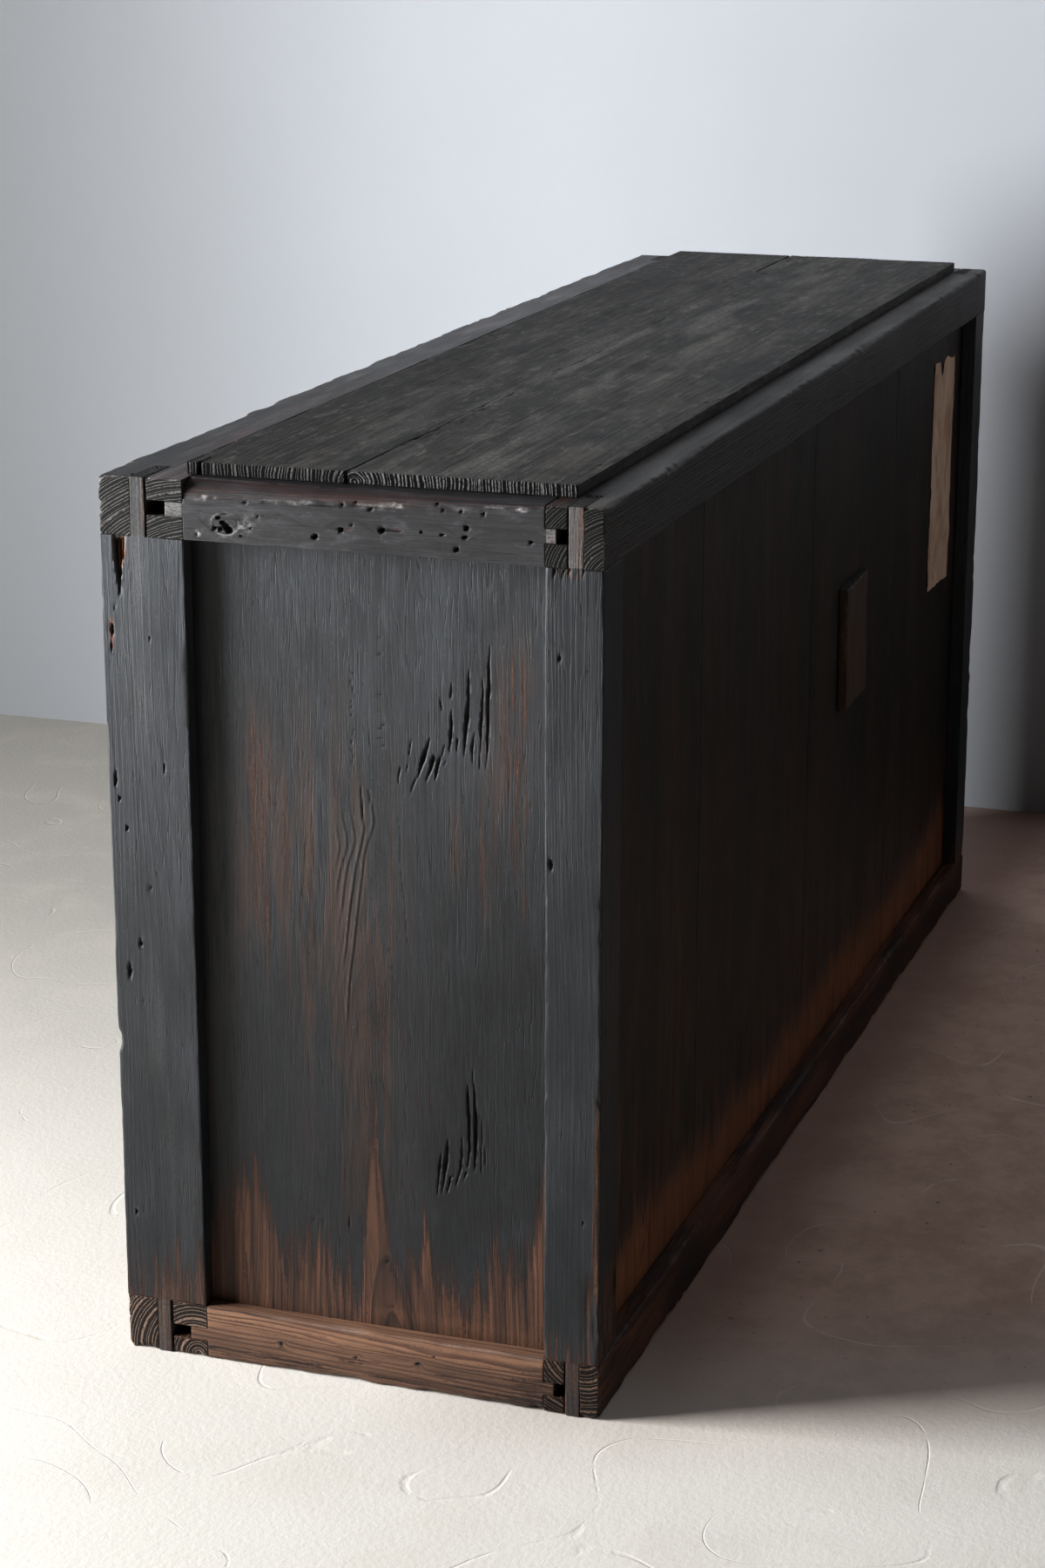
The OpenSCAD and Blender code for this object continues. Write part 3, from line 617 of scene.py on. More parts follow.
def wood(name, soot, soot_light, early, late, gloss, ring=3.0, ridge=0.3, fibre=0.3, lines=0.2,
         end_dark=(3, 3, 3), end_light=(112, 108, 104), scour=0.3, fade=(84, 62, 52), stain=(62, 42, 35),
         scar=(140, 137, 134), shine=0.2, mottle=0.0, fine=1.0):
    """Softwood with a soot finish over bare wood. early and late are the two halves of a year's ring."""
    n = new_nodes(name)
    grain = n.attribute("grain", "Vector")
    ring_at = n.attribute("ring", "Fac")
    bare, tint, pit = n.parts("ShaderNodeSeparateColor", n.attribute("paint", "Color"))
    end = n.attribute("paint", "Alpha")
    wear, knot, tone = n.parts("ShaderNodeSeparateColor", n.attribute("look", "Color"))

    def noise(along, across, *others):
        """Noise drawn out along the grain, with its swells per millimetre."""
        return n.noise(grain, (along, across, across), *others)

    thread = noise(0.03, 0.9 * fine, 3.0, 0.65)
    fibres = noise(0.008, 0.38 * fine, 4.0, 0.65)
    streak = noise(0.0055, 0.085, 4.0, 0.62)
    cloud = noise(0.008, 0.016, 4.0, 0.6)
    speck = noise(0.3, 0.6, 3.0, 0.65)
    hair = noise(0.0035, 0.13, 2.0, 0.5).level_lines(11.0).span(0.11, 0.02) * cloud.span(0.35, 0.6, 0.2, 1.0)

    # Years: a slow pale half and a short dark half that ends sharply
    slow = n.noise(n.add("ShaderNodeCombineXYZ", X=ring_at * 0.11), None, 2.0, 0.6)
    shifted = ring_at + (fibres - 0.5) * (ring * 0.25) + (streak - 0.5) * (ring * 0.4) + slow * (ring * 3.2)
    year = n.math("FRACT", shifted / ring)
    dark_half = n.curve(year, ((0.0, 0.05), (0.45, 0.1), (0.8, 0.8), (0.93, 1.0), (1.0, 0.1)))
    years = dark_half * cloud.span(0.3, 0.7, 0.55, 1.0)

    bare_colour = n.coats(early, (years, late), (streak.span(0.35, 0.72, 0.0, 0.55), shade(late, 0.7)),
                          (thread.span(0.35, 0.75, 0.0, 0.3), shade(early, 0.8)))
    faded = tint * (streak * 0.9 + (fibres + thread) * 0.4).span(0.79, 0.93)
    soot_colour = n.coats(
        soot, (cloud.span(0.3, 0.7), soot_light), (thread.span(0.45, 0.7, 0.0, 0.5), shade(soot, 0.68)),
        (fibres.span(0.5, 0.7, 0.0, 0.4), shade(soot, 0.66)),
        (fibres.span(0.45, 0.3, 0.0, 0.25), shade(soot_light, 1.25)),
        (streak.span(0.45, 0.7, 0.0, 0.35), shade(soot, 0.75)), (hair * 0.7, shade(soot, 0.35)),
        (years * lines, shade(soot, 0.6)),
        (faded, n.coats(fade, (n.math("MAXIMUM", years, hair) * 0.65, shade(fade, 0.55)))))
    if mottle:
        scuff, crumb = noise(0.035, 0.11, 6.0, 0.72, 0.3), noise(0.16, 0.34, 4.0, 0.7)
        scuffed = scuff.span(0.52, 0.66) * crumb.span(0.36, 0.6, 0.25, 1.0)
        worn = scuff.span(0.48, 0.34) * crumb.span(0.62, 0.4, 0.3, 1.0)
        soot_colour = n.coats(soot_colour, (scuffed * mottle, shade(soot_light, 1.55)),
                              (worn * mottle, shade(soot, 0.5)))

    # The soot thins through a dark stain before bare wood shows, in ragged streaks along the grain
    tatters = (streak * 0.22 + fibres * 0.34 + thread * 0.3 + speck * 0.14 - 0.5) * 4.6
    shown = (bare + tatters) * bare.span(0.02, 0.2)
    open_wood = shown.span(0.48, 0.7) * speck.span(0.3, 0.5, 0.7, 1.0)
    scoured = wear.span(0.1, 0.95) * speck.span(0.35, 0.62, 0.2, 1.0)
    dust = noise(0.42, 0.7, 2.0, 0.7)
    nicks = noise(0.05, 0.45, 2.0, 0.5).span(0.72, 0.78) * speck.span(0.5, 0.6)
    end_rings = n.curve(year, ((0.0, 0.0), (0.46, 0.02), (0.6, 0.9), (0.82, 1.0), (0.94, 0.0)))
    end_rings = end_rings * noise(0.55, 0.55, 3.0, 0.6).span(0.3, 0.52, 0.2, 1.0)
    colour = n.coats(
        soot_colour, (shown.span(0.3, 0.42), n.coats(stain, (years, shade(stain, 0.7)))), (open_wood, bare_colour),
        (scoured * scour, scar), (dust.span(0.66, 0.72, 0.0, 0.45), (96, 92, 88)),
        (dust.span(0.33, 0.28, 0.0, 0.5), (18, 17, 16)), (nicks * 0.6, (14, 12, 12)),
        (end, n.coats(end_dark, (end_rings, end_light))),
        (knot * 0.8, n.coats((50, 40, 36), (dark_half, (18, 14, 13)))))
    colour = n.add("ShaderNodeVectorMath", {"operation": "SCALE"}, i0=colour,
                   Scale=tone.span(0.0, 1.0, 0.25, 1.75, "LINEAR"))
    # painted shade: holes, slits and checks are filled with near-black
    colour = n.coats(colour, (pit * 0.95, (7, 6, 5)))

    rough = gloss + (fibres - 0.5) * 0.16 + (cloud - 0.5) * 0.3 + open_wood * (BARE_ROUGHNESS - gloss)
    rough = n.math("ADD", rough, n.math("MAXIMUM", end, pit) * 0.4, clamp=True)
    flat = 1.0 - end
    height = years * ridge * flat + fibres * fibre * flat + thread * fibre * flat - hair * flat * 0.25
    height = height + speck * 0.2 - nicks * 0.8 + end_rings * end * 2.6
    n.finish(n.surface(colour, rough, height, 0.9, 0.0007, Specular_IOR_Level=shine))


def iron():
    n = new_nodes("iron")
    blotch = n.noise(n.place(), (90, 90, 90), 5.0, 0.6)
    grit = n.noise(n.place(), (900, 900, 900), 4.0, 0.65)
    colour = n.coats((40, 37, 35), (blotch.span(0.35, 0.7), (66, 48, 38)),
                     (grit.span(0.55, 0.8, 0, 0.6), (22, 20, 20)))
    n.finish(n.surface(colour, blotch.span(0.3, 0.7, 0.42, 0.72), blotch * 0.7 + grit * 0.4, Metallic=0.8))


def paper():
    n = new_nodes("old_paper")
    stain = n.noise(n.place(), (22, 22, 14), 5.0, 0.6, 0.6)
    fleck = n.noise(n.place(), (260, 260, 190), 4.0, 0.7)
    fold = n.noise(n.place(), (60, 60, 25), 3.0, 0.5)
    colour = n.coats((206, 176, 153), (stain.span(0.35, 0.7), (160, 122, 96)),
                     (fleck.span(0.6, 0.78, 0, 0.65), (96, 72, 54)), (stain.span(0.66, 0.8, 0, 0.6), (92, 66, 48)))
    n.finish(n.surface(colour, fleck.span(0.2, 0.8, 0.8, 0.95), fold * 1.0 + fleck * 0.4, 0.6, 0.0008))


wood("frame_wood", (45, 47, 50), (60, 62, 67), (122, 84, 62), (78, 48, 36), ring=2.8, gloss=0.45, ridge=0.16,
     fibre=0.22, lines=0.3)
wood("panel_wood", (46, 48, 51), (57, 59, 63), (126, 83, 60), (50, 32, 26), ring=PANEL_YEAR, gloss=0.45, ridge=0.08,
     fibre=0.12, lines=0.16, fade=(88, 68, 60), stain=(60, 38, 31), mottle=0.18, fine=1.3)
wood("back_wood", (24, 23, 19), (32, 29, 25), (140, 88, 56), (78, 44, 28), ring=BACK_YEAR, gloss=0.5,
     ridge=0.12, fibre=0.2, lines=0.3, fade=(66, 44, 33), shine=0.16, fine=1.3)
wood("top_wood", (40, 38, 35), (66, 64, 60), (96, 86, 78), (64, 55, 50), ring=TOP_YEAR, gloss=0.66, ridge=0.7,
     fibre=0.9, lines=0.6, fade=(88, 82, 76), end_light=(116, 115, 113), scour=0.45, scar=(128, 125, 120),
     shine=0.15, mottle=0.8, fine=1.2)
wood("rail_wood", (42, 41, 43), (60, 59, 61), (92, 66, 58), (60, 42, 38), ring=2.6, gloss=0.46, fibre=0.4,
     lines=0.4, fade=(84, 60, 59), stain=(60, 42, 42), mottle=0.35, scour=0.6, scar=(166, 163, 160))
wood("back_rail_wood", (36, 33, 31), (52, 48, 45), (88, 62, 52), (56, 38, 32), ring=2.6, gloss=0.5, fibre=0.4,
     lines=0.4, fade=(74, 58, 50), stain=(50, 36, 31), end_light=(78, 75, 73), mottle=0.4, shine=0.16)
wood("bare_wood", (40, 31, 27), (58, 44, 37), (150, 109, 84), (56, 31, 23), ring=3.4, gloss=0.52, ridge=0.4,
     fibre=0.5, end_dark=(18, 13, 11), end_light=(134, 108, 92), stain=(72, 46, 37), mottle=0.3)
wood("foot_wood", (30, 21, 17), (44, 30, 24), (112, 70, 50), (60, 34, 24), ring=3.4, gloss=0.5, ridge=0.4,
     fibre=0.5, end_dark=(13, 10, 8), end_light=(96, 75, 62), stain=(40, 26, 20), shine=0.14, mottle=0.3)
wood("front_wood", (44, 36, 33), (60, 48, 42), (110, 76, 56), (72, 44, 33), gloss=0.34, ridge=0.2, lines=0.7,
     fade=(74, 56, 47), fine=1.3)
wood("inner_wood", (92, 70, 53), (122, 96, 73), (158, 122, 91), (112, 78, 54), ring=3.2, gloss=0.66, ridge=0.25,
     fibre=0.4, lines=0.5, end_dark=(80, 60, 45), end_light=(146, 116, 90), stain=(96, 70, 52))
wood("patch_wood", (58, 46, 38), (80, 62, 50), (100, 74, 58), (70, 48, 37), ring=3.2, gloss=0.6, fibre=0.5,
     lines=0.4)
iron()
paper()


# The pieces

BODY = {name: body for body, names in frame["record"]["behaviour"]["bodies"].items() for name in names}
SLOT = {s["node"]: s["material_slot"] for s in frame["record"]["subparts"]}
SIDES = (("right", 1), ("left", -1))


def worn_piece(node, axis, spacing, pith, slope=(0, 0), wobble=2.0, size=(240, 40), soften=6, swell=0.4,
               swell_size=(220, 40, 40), arrises=(), pocket=None):
    """A wooden piece with its rings, its soft arrises and an uneven surface. arrises are rows for wear_arris."""
    p = Piece(node + "_wood", *solid_cells(node, spacing, pocket is not None), axis)
    if pocket is not None:
        round_ends(p, pocket)
    p.rings(pith, slope, wobble, size)
    p.soften(soften)
    p.undulate(swell, swell_size)
    for row in arrises:
        p.wear_arris(*row)
    return p


def towards_right(near, far):
    """Close lines at the end that shows, wider ones further away."""
    return lambda x: np.minimum(far, near + np.maximum(X_END - x, 0) * 0.012)


def foot_bare(p, top, reach, strength=1.0, size=(30, 30, 400), drift=30):
    """Soot worn off from the floor up."""
    z = p.z + drift * p.rough(size, p.seed + 201)
    p.least(bare=strength * unit(0.5 + (top - z) / reach))


def shade_by_height(p, values, extra):
    """Painted light and shade: the ends are greyer near the top and darker towards the floor, where the light falls
    off downward.
    """
    p.tone = np.interp(p.z, (0, 150, 350, 500, 700, 785), values) + extra


def raise_grain(p, ring, depth, rows=1):
    """Pushes the soft half of each year in, so the hard half stands as a ridge."""
    soft = 0.5 + 0.5 * np.cos(2 * math.pi * ((p.ring / ring) % 1.0))
    p.push(depth * soft * (1 - p.end) * rows)


def front_top_rail():
    p = worn_piece("front_top_rail", 0, (towards_right(1.3, 6.0), 1.7, 1.7), (-120, 650), wobble=1.2,
                   size=(260, 60),
                   arrises=(("-y+z", 1.6, 5.5, 34, 3.2), ("-y-z", 1.0, 4, 30, 1.5), ("+x+z", 0.9, 3.5, 12, 1.0),
                            ("+x-y", 1.1, 4, 12, 1.2)))
    top = p.side(2, 1)
    outer, inner = ramp(p.y, Y_FRONT + 70, Y_FRONT + 20), ramp(p.y, Y_FRONT + 26, Y_FRONT + 52)
    p.least(wear=top * outer * unit(0.1 + 0.45 * p.rough((90, 12, 50), 5)))
    p.tint = top * unit(0.2 + 0.75 * inner + 0.5 * p.rough((140, 14, 50), 6))
    p.least(wear=top * inner * np.clip(0.25 + 0.4 * p.rough((160, 8, 50), 15), 0, 0.7))
    p.hole_at(top, (0, 1), (747, -183), 2.2, 3.0)
    p.least(wear=p.side(1, -1) * 0.25)
    return p


def front_bottom_rail():
    p = worn_piece("front_bottom_rail", 0, (towards_right(1.5, 9.0), 2.2, 2.2), (-143, 4), wobble=1.0,
                   size=(260, 60),
                   arrises=(("+x-z", 1.6, 6, 16, 2.5), ("-y-z", 1.6, 6, 30, 2.5), ("+x-y", 1.2, 4, 14, 1.5)))
    p.bare = unit(0.6 + 0.3 * p.rough((240, 14, 14), 4))
    p.tone = np.where(p.end > 0.5, 0.5, 0.17 + 0.06 * p.rough((160, 20, 8), 24))
    return p


def back_top_rail():
    p = worn_piece("back_top_rail", 0, (towards_right(1.3, 6.0), 1.7, 1.7), (240, 720), wobble=1.0, size=(260, 60),
                   arrises=(("+y+z", 1.2, 5, 40, 2.6), ("-y+z", 0.8, 3, 30, 1.2), ("+x+z", 0.9, 3.5, 12, 1.2)))
    top = p.side(2, 1)
    p.tint = top * unit(0.4 + 0.55 * p.rough((170, 12, 50), 8))
    p.least(wear=top * unit(0.35 + 0.5 * p.rough((120, 10, 50), 9)),
            bare=top * ramp(p.x, X_END - 130, X_END - 10) * 0.42)
    p.hole_at(top, (0, 1), (744, 206), 2.4, 3.0, 1.5)
    # painted shade: the back face, turned away from the window, is darker than the top and front
    p.tone = np.where(p.side(1, 1), 0.3, 0.52)
    return p


def back_bottom_rail():
    p = worn_piece("back_bottom_rail", 0, (towards_right(1.5, 7.0), 2.0, 2.0), (215, 62), wobble=1.6,
                   size=(260, 60), swell=0.5, swell_size=(180, 40, 40),
                   arrises=(("+y-z", 1.8, 7, 45, 3.0), ("+y+z", 1.4, 5, 40, 2.0), ("+x-z", 1.4, 5, 14, 1.6)))
    p.bare = unit(0.56 + 0.3 * p.rough((120, 25, 25), 12))
    return p


def tenon_paint(p, rows, tint, tone, wear, bare):
    """A tenon's end face: rubbed, paler and warmer than the end grain beside it."""
    for name, value in (("tint", tint), ("tone", tone), ("wear", wear), ("bare", bare)):
        setattr(p, name, np.where(rows, value, getattr(p, name)))


def front_post_right():
    p = worn_piece("front_post_right", 2, (3.0, lambda y: np.where(y < -180, 1.2, 2.6),
                                           lambda z: np.where(z > 650, 1.7, 3.2)),
                   (690, -150), (0.01, 0.006), 2.2, (300, 40), swell=0.45, swell_size=(40, 40, 200),
                   arrises=(("+x-y", 0.7, 2.8, 60, 0.6), ("+x+y", 0.6, 2.6, 30, 0.6)))
    end, y, z, axes = p.side(0, 1), p.y, p.z, (1, 2)
    # The split under the rail, with fresh wood beside it
    cleft = 4.2 * ramp(z, 700, Z_HEAD)
    fresh = end * ramp(np.abs(y + 192.5), cleft + 1.6, cleft + 0.4) * (z > 700) * (z < Z_HEAD + 1)
    p.least(bare=fresh * 0.9)
    p.push(1.4 * fresh)
    under = Z_HEAD + 14
    for path, *how in ((((-193.8, 681, 0.3), (-194.6, 700, 1.1), (-196, 715, 1.3), (-197.6, under, 1.5)), 6.0),
                       (((-193.4, 683, 0.3), (-192.9, 704, 1.1), (-192.6, under, 1.2)), 5.0),
                       (((-189.4, 711, 0.3), (-189.6, 722, 0.9), (-190, under, 0.8)), 2.6),
                       (((-198.8, 672, 0.7), (-198.2, 678, 0.6)), 1.2),
                       (((-204.6, 654, 0.3), (-204, 659, 0.9), (-203.6, 664, 0.3)), 0.6, 0.9)):
        p.slit(end, axes, path, *how)
    p.least(bare=end * 0.8 * blob((y, -188, 1.3), (z, 721, 7), power=2))
    for y0, z0, r, stretch in (
            (-202, 655, 1.6, 3.6), (-203, 640, 1.2, 3.0), (-204, 525, 1.7, 3.6), (-201, 508, 1.1, 2.6),
            (-195, 482, 1.4, 1.5), (-186, 381, 1.5, 1.8), (-197, 355, 1.6, 3.8), (-185, 330, 1.1, 1.0),
            (-175, 431, 0.9, 1.0), (-158, 539, 0.9, 3.0), (-162, 372, 0.8, 1.0), (-199, 130, 1.1, 1.0),
            (-180, 590, 0.7, 1.0), (-190, 570, 0.7, 2.0), (-168, 650, 0.6, 1.6)):
        p.hole_at(end, axes, (y0, z0), r, 1.6 + r * 0.8, stretch)
    p.least(bare=end * 0.6 * blob((y, -202, 3), (z, 650, 16)))
    notch = ramp(np.hypot(y - Y_FRONT, (z - 290) / 2.2), 5.5, 1.5)
    p.push(2.6 * notch, np.array([0.5, -0.86, 0]))
    foot_bare(p, 72, 90, 0.62)
    p.bare *= 1 - 0.3 * ramp(y, -172, -190) * (z < 400)
    p.least(wear=end * unit(0.1 + 0.4 * p.rough((40, 22, 160), 3)))
    # painted light: lighter high up, darker towards the floor
    shade_by_height(p, (0.06, 0.1, 0.2, 0.34, 0.64, 0.68), 0.05 * p.rough((60, 60, 120), 91))
    tenon_paint(p, z > Z_HEAD + 0.6, 0.35, 0.26, 0.75, 0.4)
    tenon_paint(p, z < RAIL_H - 0.6, 0.7, 0.2, 0.55, 0.34)
    return p


def back_post_right():
    p = worn_piece("back_post_right", 2, (2.6, lambda y: np.where(y > 180, 1.2, 2.4), 2.8), (680, 262),
                   (0.008, -0.012), size=(300, 40), swell_size=(40, 40, 200),
                   arrises=(("+x+y", 0.9, 3.5, 40, 1.4), ("+x-y", 0.9, 3.2, 40, 0.6)))
    end, y, z, axes = p.side(0, 1), p.y, p.z, (1, 2)
    outer = end | p.side(1, 1)
    for y0, z0, r, stretch in ((190, 662, 1.7, 1.6), (183, 490, 1.8, 2.2), (180, 371, 1.3, 1.4),
                               (203, 250, 0.8, 1.0), (212, 180, 0.9, 1.2)):
        p.hole_at(end, axes, (y0, z0), r, 2.0, stretch)
    p.tear_at(end, axes, (207, 655), (222, 651), 0.7, 0.6)
    # Split fibres under the rail
    for path in (((184, 727, 0.5), (186, 735, 1.6)), ((191, 728, 0.4), (194, 735, 1.4)),
                 ((196, 730, 0.3), (198, 735, 1.0)), ((208.5, 729, 0.3), (209.5, 736, 0.9))):
        p.slit(end, axes, path, 1.8)
    torn = end * blob((y, 198, 9), (z, 731, 5.5)) * unit(0.5 + 0.9 * p.noise((3, 2.2, 7), 15))
    p.push(1.5 * torn)
    p.least(bare=0.85 * torn)
    # The splintered corner at the foot
    bite = ramp(y, 207, 224) * ramp(z, 150, 105) * ramp(z, 40, 60)
    bite = bite * np.clip(0.55 + 0.7 * p.rough((6, 5, 60), 14), 0, 1.2)
    p.push(3.4 * bite * outer, np.array([0.75, 0.66, 0]))
    p.least(bare=bite * 1.1 * outer)
    p.least(bare=end * ramp(y, 214, 226) * ramp(z, 350, 240) * 0.55)
    foot_bare(p, 66, 70, 0.72)
    # painted light: lighter high up, darker towards the floor
    shade_by_height(p, (0.12, 0.13, 0.19, 0.23, 0.21, 0.19), 0.04 * p.rough((60, 60, 120), 91))
    tenon_paint(p, z > Z_HEAD + 0.6, 0.8, 0.46, 0.75, 0.34)
    tenon_paint(p, z < RAIL_H - 0.6, 1.0, 0.12, 0.5, 0.5)
    return p


def end_top_rail(side, name):
    p = worn_piece("end_top_rail_" + name, 1, (1.6, 1.7, 1.6) if side > 0 else (2.4, 3.0, 2.4), (side * 690, 742),
                   (0.0, 0.02), 1.6, (200, 26), swell=0.5, swell_size=(40, 120, 30))
    if side < 0:
        p.wear_arris("-x+z", 1.6, 6, 30, 2.0)
        return p
    y, z = p.y, p.z
    # A knot: the years swing over and under it
    p.ring += 7 * np.exp(-(np.hypot((y + 98) / 2.0, z - 750) / 8) ** 2)
    for y0 in (-20, 39, 110):
        p.ring += 3 * blob((y, y0, 16), (z, 757, 9), power=2)
    wane(p)
    knot_and_tears(p)
    tenon_paint(p, (y < Y_FRONT_IN - 0.6) | (y > Y_BACK_IN + 0.6), 0.35, 0.4, 0.65, 0.0)
    return p


def wane(p):
    """The waney upper arris: full at the front post, almost gone at the back one."""
    y, z = p.y, p.z
    t = (y - Y_FRONT_IN) / (Y_BACK_IN - Y_FRONT_IN)
    size = 17 - 13 * unit(t) + 1.1 * p.noise((400, 26, 400), 3)
    da, db = X_END - p.x, FRAME_H - z
    q = np.maximum(size - np.maximum(da, 0), 0), np.maximum(size - np.maximum(db, 0), 0)
    away = np.hypot(*q)
    over = np.where((q[0] > 0) & (q[1] > 0), np.maximum(away - size * 0.92, 0), 0)
    inside = (t > -0.001) & (t < 1.001)
    shift = np.stack([q[0], np.zeros_like(y), q[1]], 1) / np.maximum(away, 1e-6)[:, None]
    p.verts -= shift * (over * inside)[:, None]
    waney = inside * ramp(da + db, size * 1.5, size * 0.75)
    p.least(bare=waney * (0.3 + 0.14 * p.noise((400, 40, 8), 5)), tint=waney * 0.8)
    p.tone = p.tone - 0.08 - 0.1 * waney
    # The light chewed edge where the face begins
    rim = inside * np.exp(-((db - size * 0.95) / 2.6) ** 2) * (da < 1)
    p.push(0.8 * rim * unit(p.noise((9, 9, 5), 8)))
    p.least(wear=0.8 * rim * unit(0.3 + 0.9 * p.noise((12, 12, 3), 9)))
    for y0, y1, z0, tall in ((-13, -2, 774, 2.6), (45, 64, 776, 2.0), (140, 164, 779.5, 2.2),
                             (-118, -104, 772, 1.8), (98, 104, 778, 1.6)):
        torn = ramp(y, y0 - 2, y0 + 2) * ramp(y, y1 + 2, y1 - 2) * np.exp(-((z - z0) / tall) ** 4) * (da < 3)
        torn = torn * unit(0.4 + 0.9 * p.noise((5, 5, 2.5), 11))
        p.least(wear=1.2 * torn)
        p.tone = p.tone + 0.35 * torn
        p.push(1.2 * torn * p.noise((4, 4, 4), 12))


def knot_and_tears(p):
    """Worm holes, the knot's lumps and rims, torn patches and slits on the face of the top end rail."""
    end, y, z, level, upright = p.side(0, 1), p.y, p.z, (2, 1), (1, 2)
    for y0, z0, r, s in (
            (-102.8, 755.5, 1.6, 1.0), (-99, 752, 2.0, 0.8), (-96, 749, 2.8, 0.8), (-93, 745.4, 3.0, 0.7),
            (-106, 747, 2.0, 0.9), (-101, 746.4, 1.8, 0.8), (-79, 769.5, 1.0, 1.0), (-67.7, 759, 0.9, 1.0),
            (-83, 742, 1.1, 1.0), (-75, 749, 1.0, 1.0), (-18, 746, 2.3, 1.0), (4, 753, 2.4, 0.9),
            (14, 758, 1.0, 1.0), (40, 755, 2.4, 1.0), (73, 756, 1.2, 1.0), (91, 755, 1.2, 1.0),
            (112, 762, 2.3, 0.8), (110.6, 754, 2.0, 0.8), (103, 744, 2.4, 0.9), (166, 754, 1.4, 1.0),
            (5.3, 773.5, 1.3, 0.9), (17, 776, 1.2, 1.0), (30, 771.5, 1.4, 0.8), (86.7, 779, 1.3, 0.8),
            (92, 775, 1.3, 1.0), (107.5, 775, 1.3, 0.8), (126, 774, 1.3, 0.8)):
        p.hole_at(end, upright, (y0, z0), r, 1.2 + r, s, 1.0 if y0 > -80 else 0.85)
    for y0, z0, sy, sz in ((-77, 752, 12, 9), (-111.5, 753.5, 5.5, 4.5)):
        halo = end * blob((y, y0, sy), (z, z0, sz))
        lumps = p.noise((7, 7, 4.5), 13)
        p.push(-0.5 * halo * lumps)
        p.least(wear=halo * unit(0.25 + 0.7 * lumps))
        p.tone = p.tone + 0.12 * halo * lumps
    off = np.hypot((y + 97) / 1.35, z - 751)
    rim = end * unit(np.cos(2 * math.pi * off / 4.6)) * ramp(off, 19, 8) * ramp(off, 5, 8)
    rim = rim * unit(0.6 + 0.7 * p.noise((9, 9, 6), 16))
    p.push(-0.3 * rim)
    p.least(wear=0.8 * rim)
    for y0, z0, sy, sz in ((-80, 748, 6, 3.2), (-72, 752, 5, 2.4), (-121, 742, 3, 3.4), (-97, 741, 6, 1.6)):
        torn = end * blob((y, y0, sy), (z, z0, sz)) * unit(0.5 + 0.9 * p.noise((3.6, 3.6, 2.6), 17))
        p.least(wear=torn)
        p.tone = p.tone + 0.3 * torn
    for axes, path, *how in (
            (level, ((758.2, -104, 0.3), (759, -98, 0.8), (758.2, -92, 0.3)), 1.0),
            (upright, ((-121.4, 737, 0.3), (-122.4, 740.5, 1.0), (-121.6, 744, 0.4)), 1.2),
            (upright, ((-119.4, 742, 0.4), (-119, 744.6, 0.9), (-118.4, 747, 0.3)), 0.6, 0.9),
            (level, ((772, -36, 0.3), (771.4, -10, 0.9), (772.2, 8, 1.1), (772.6, 30, 0.9), (771.5, 53, 0.3)), 1.8),
            (level, ((774.4, 9, 0.4), (774.8, 20, 1.2), (774.2, 31, 0.4)), 0.5, 0.8),
            (level, ((753.4, 5, 0.5), (754, 13, 0.8), (754.6, 16, 0.2)), 0.5, 0.7),
            (level, ((755, 42, 0.8), (755.4, 50, 0.7), (755.2, 58, 0.4)), 1.5),
            (level, ((756.8, 47, 0.4), (756.8, 54, 0.9), (756.2, 58, 0.3)), 0.5, 1.0),
            (upright, ((40.8, 743, 0.3), (40.6, 748, 0.6), (40.4, 754, 0.4)), 0.8, 0.5)):
        p.slit(end, axes, path, *how)


def end_bottom_rail(side, name):
    p = Piece("end_bottom_rail_" + name + "_wood", *solid_cells(
        "end_bottom_rail_" + name, (1.8, 1.8, 1.7) if side > 0 else (2.6, 3.2, 2.6)), 1)
    p.rings((side * 700, 88), (0.01, -0.035), 3.4, (150, 22))
    end = p.side(0, side)
    if side > 0:
        for y, z, r in ((-64, 25, 2.4), (6, 23, 1.8), (64, 26, 2.8), (-36, 13, 0.9), (78, 36, 0.8)):
            p.knot_at(end, (1, 2), (y, z), r, 2.2)
            p.hole_at(end, (1, 2), (y, z), r * 0.7, 1.5, 0.7)
    p.soften(6)
    p.undulate(0.5, (40, 120, 30))
    face = "+x" if side > 0 else "-x"
    p.wear_arris(face + "-z", 2.0, 7, 40, 2.6)
    p.wear_arris(face + "+z", 1.4, 6, 50, 1.4)
    z = p.z + 5 * p.rough((60, 60, 40), 21)
    p.tint = ramp(z, 26, 12)
    p.bare = 1.0 - 0.2 * ramp(z, 22, 8) - 0.34 * ramp(p.y, 110, 176) * ramp(z, 40, 30)
    p.bare -= 0.24 * end * unit(p.rough((50, 50, 5), 22)) * ramp(z, 38, 28)
    p.tone = 0.11 + 0.23 * ramp(z, 10, 40) + 0.09 * p.rough((40, 90, 5), 23) - 0.05 * ramp(p.y, 0, 130)
    return p


# Height of the bare foot of the end panel, along its width: y, z
FLAME = np.array([
    (-134, 165), (-120, 160), (-108, 160), (-100, 170), (-95, 182), (-88, 178), (-84, 186), (-80, 160),
    (-72, 152), (-68, 130), (-63, 140), (-58, 118), (-50, 114), (-38, 122), (-25, 128), (-18, 132), (-10, 112),
    (2, 104), (6, 82),
    (13, 80), (15, 120), (19, 170), (21, 215), (27, 270), (33, 215), (36, 160), (40, 125), (44, 108), (52, 112),
    (58, 98), (66, 94), (70, 172), (74, 158), (78, 128), (82, 100), (85, 108), (100, 104), (112, 100), (127, 103),
    (130, 125), (135, 143), (138, 124), (144, 118), (152, 124), (158, 134), (164, 148), (170, 175), (174, 200),
    (178, 215), (186, 225)], float)

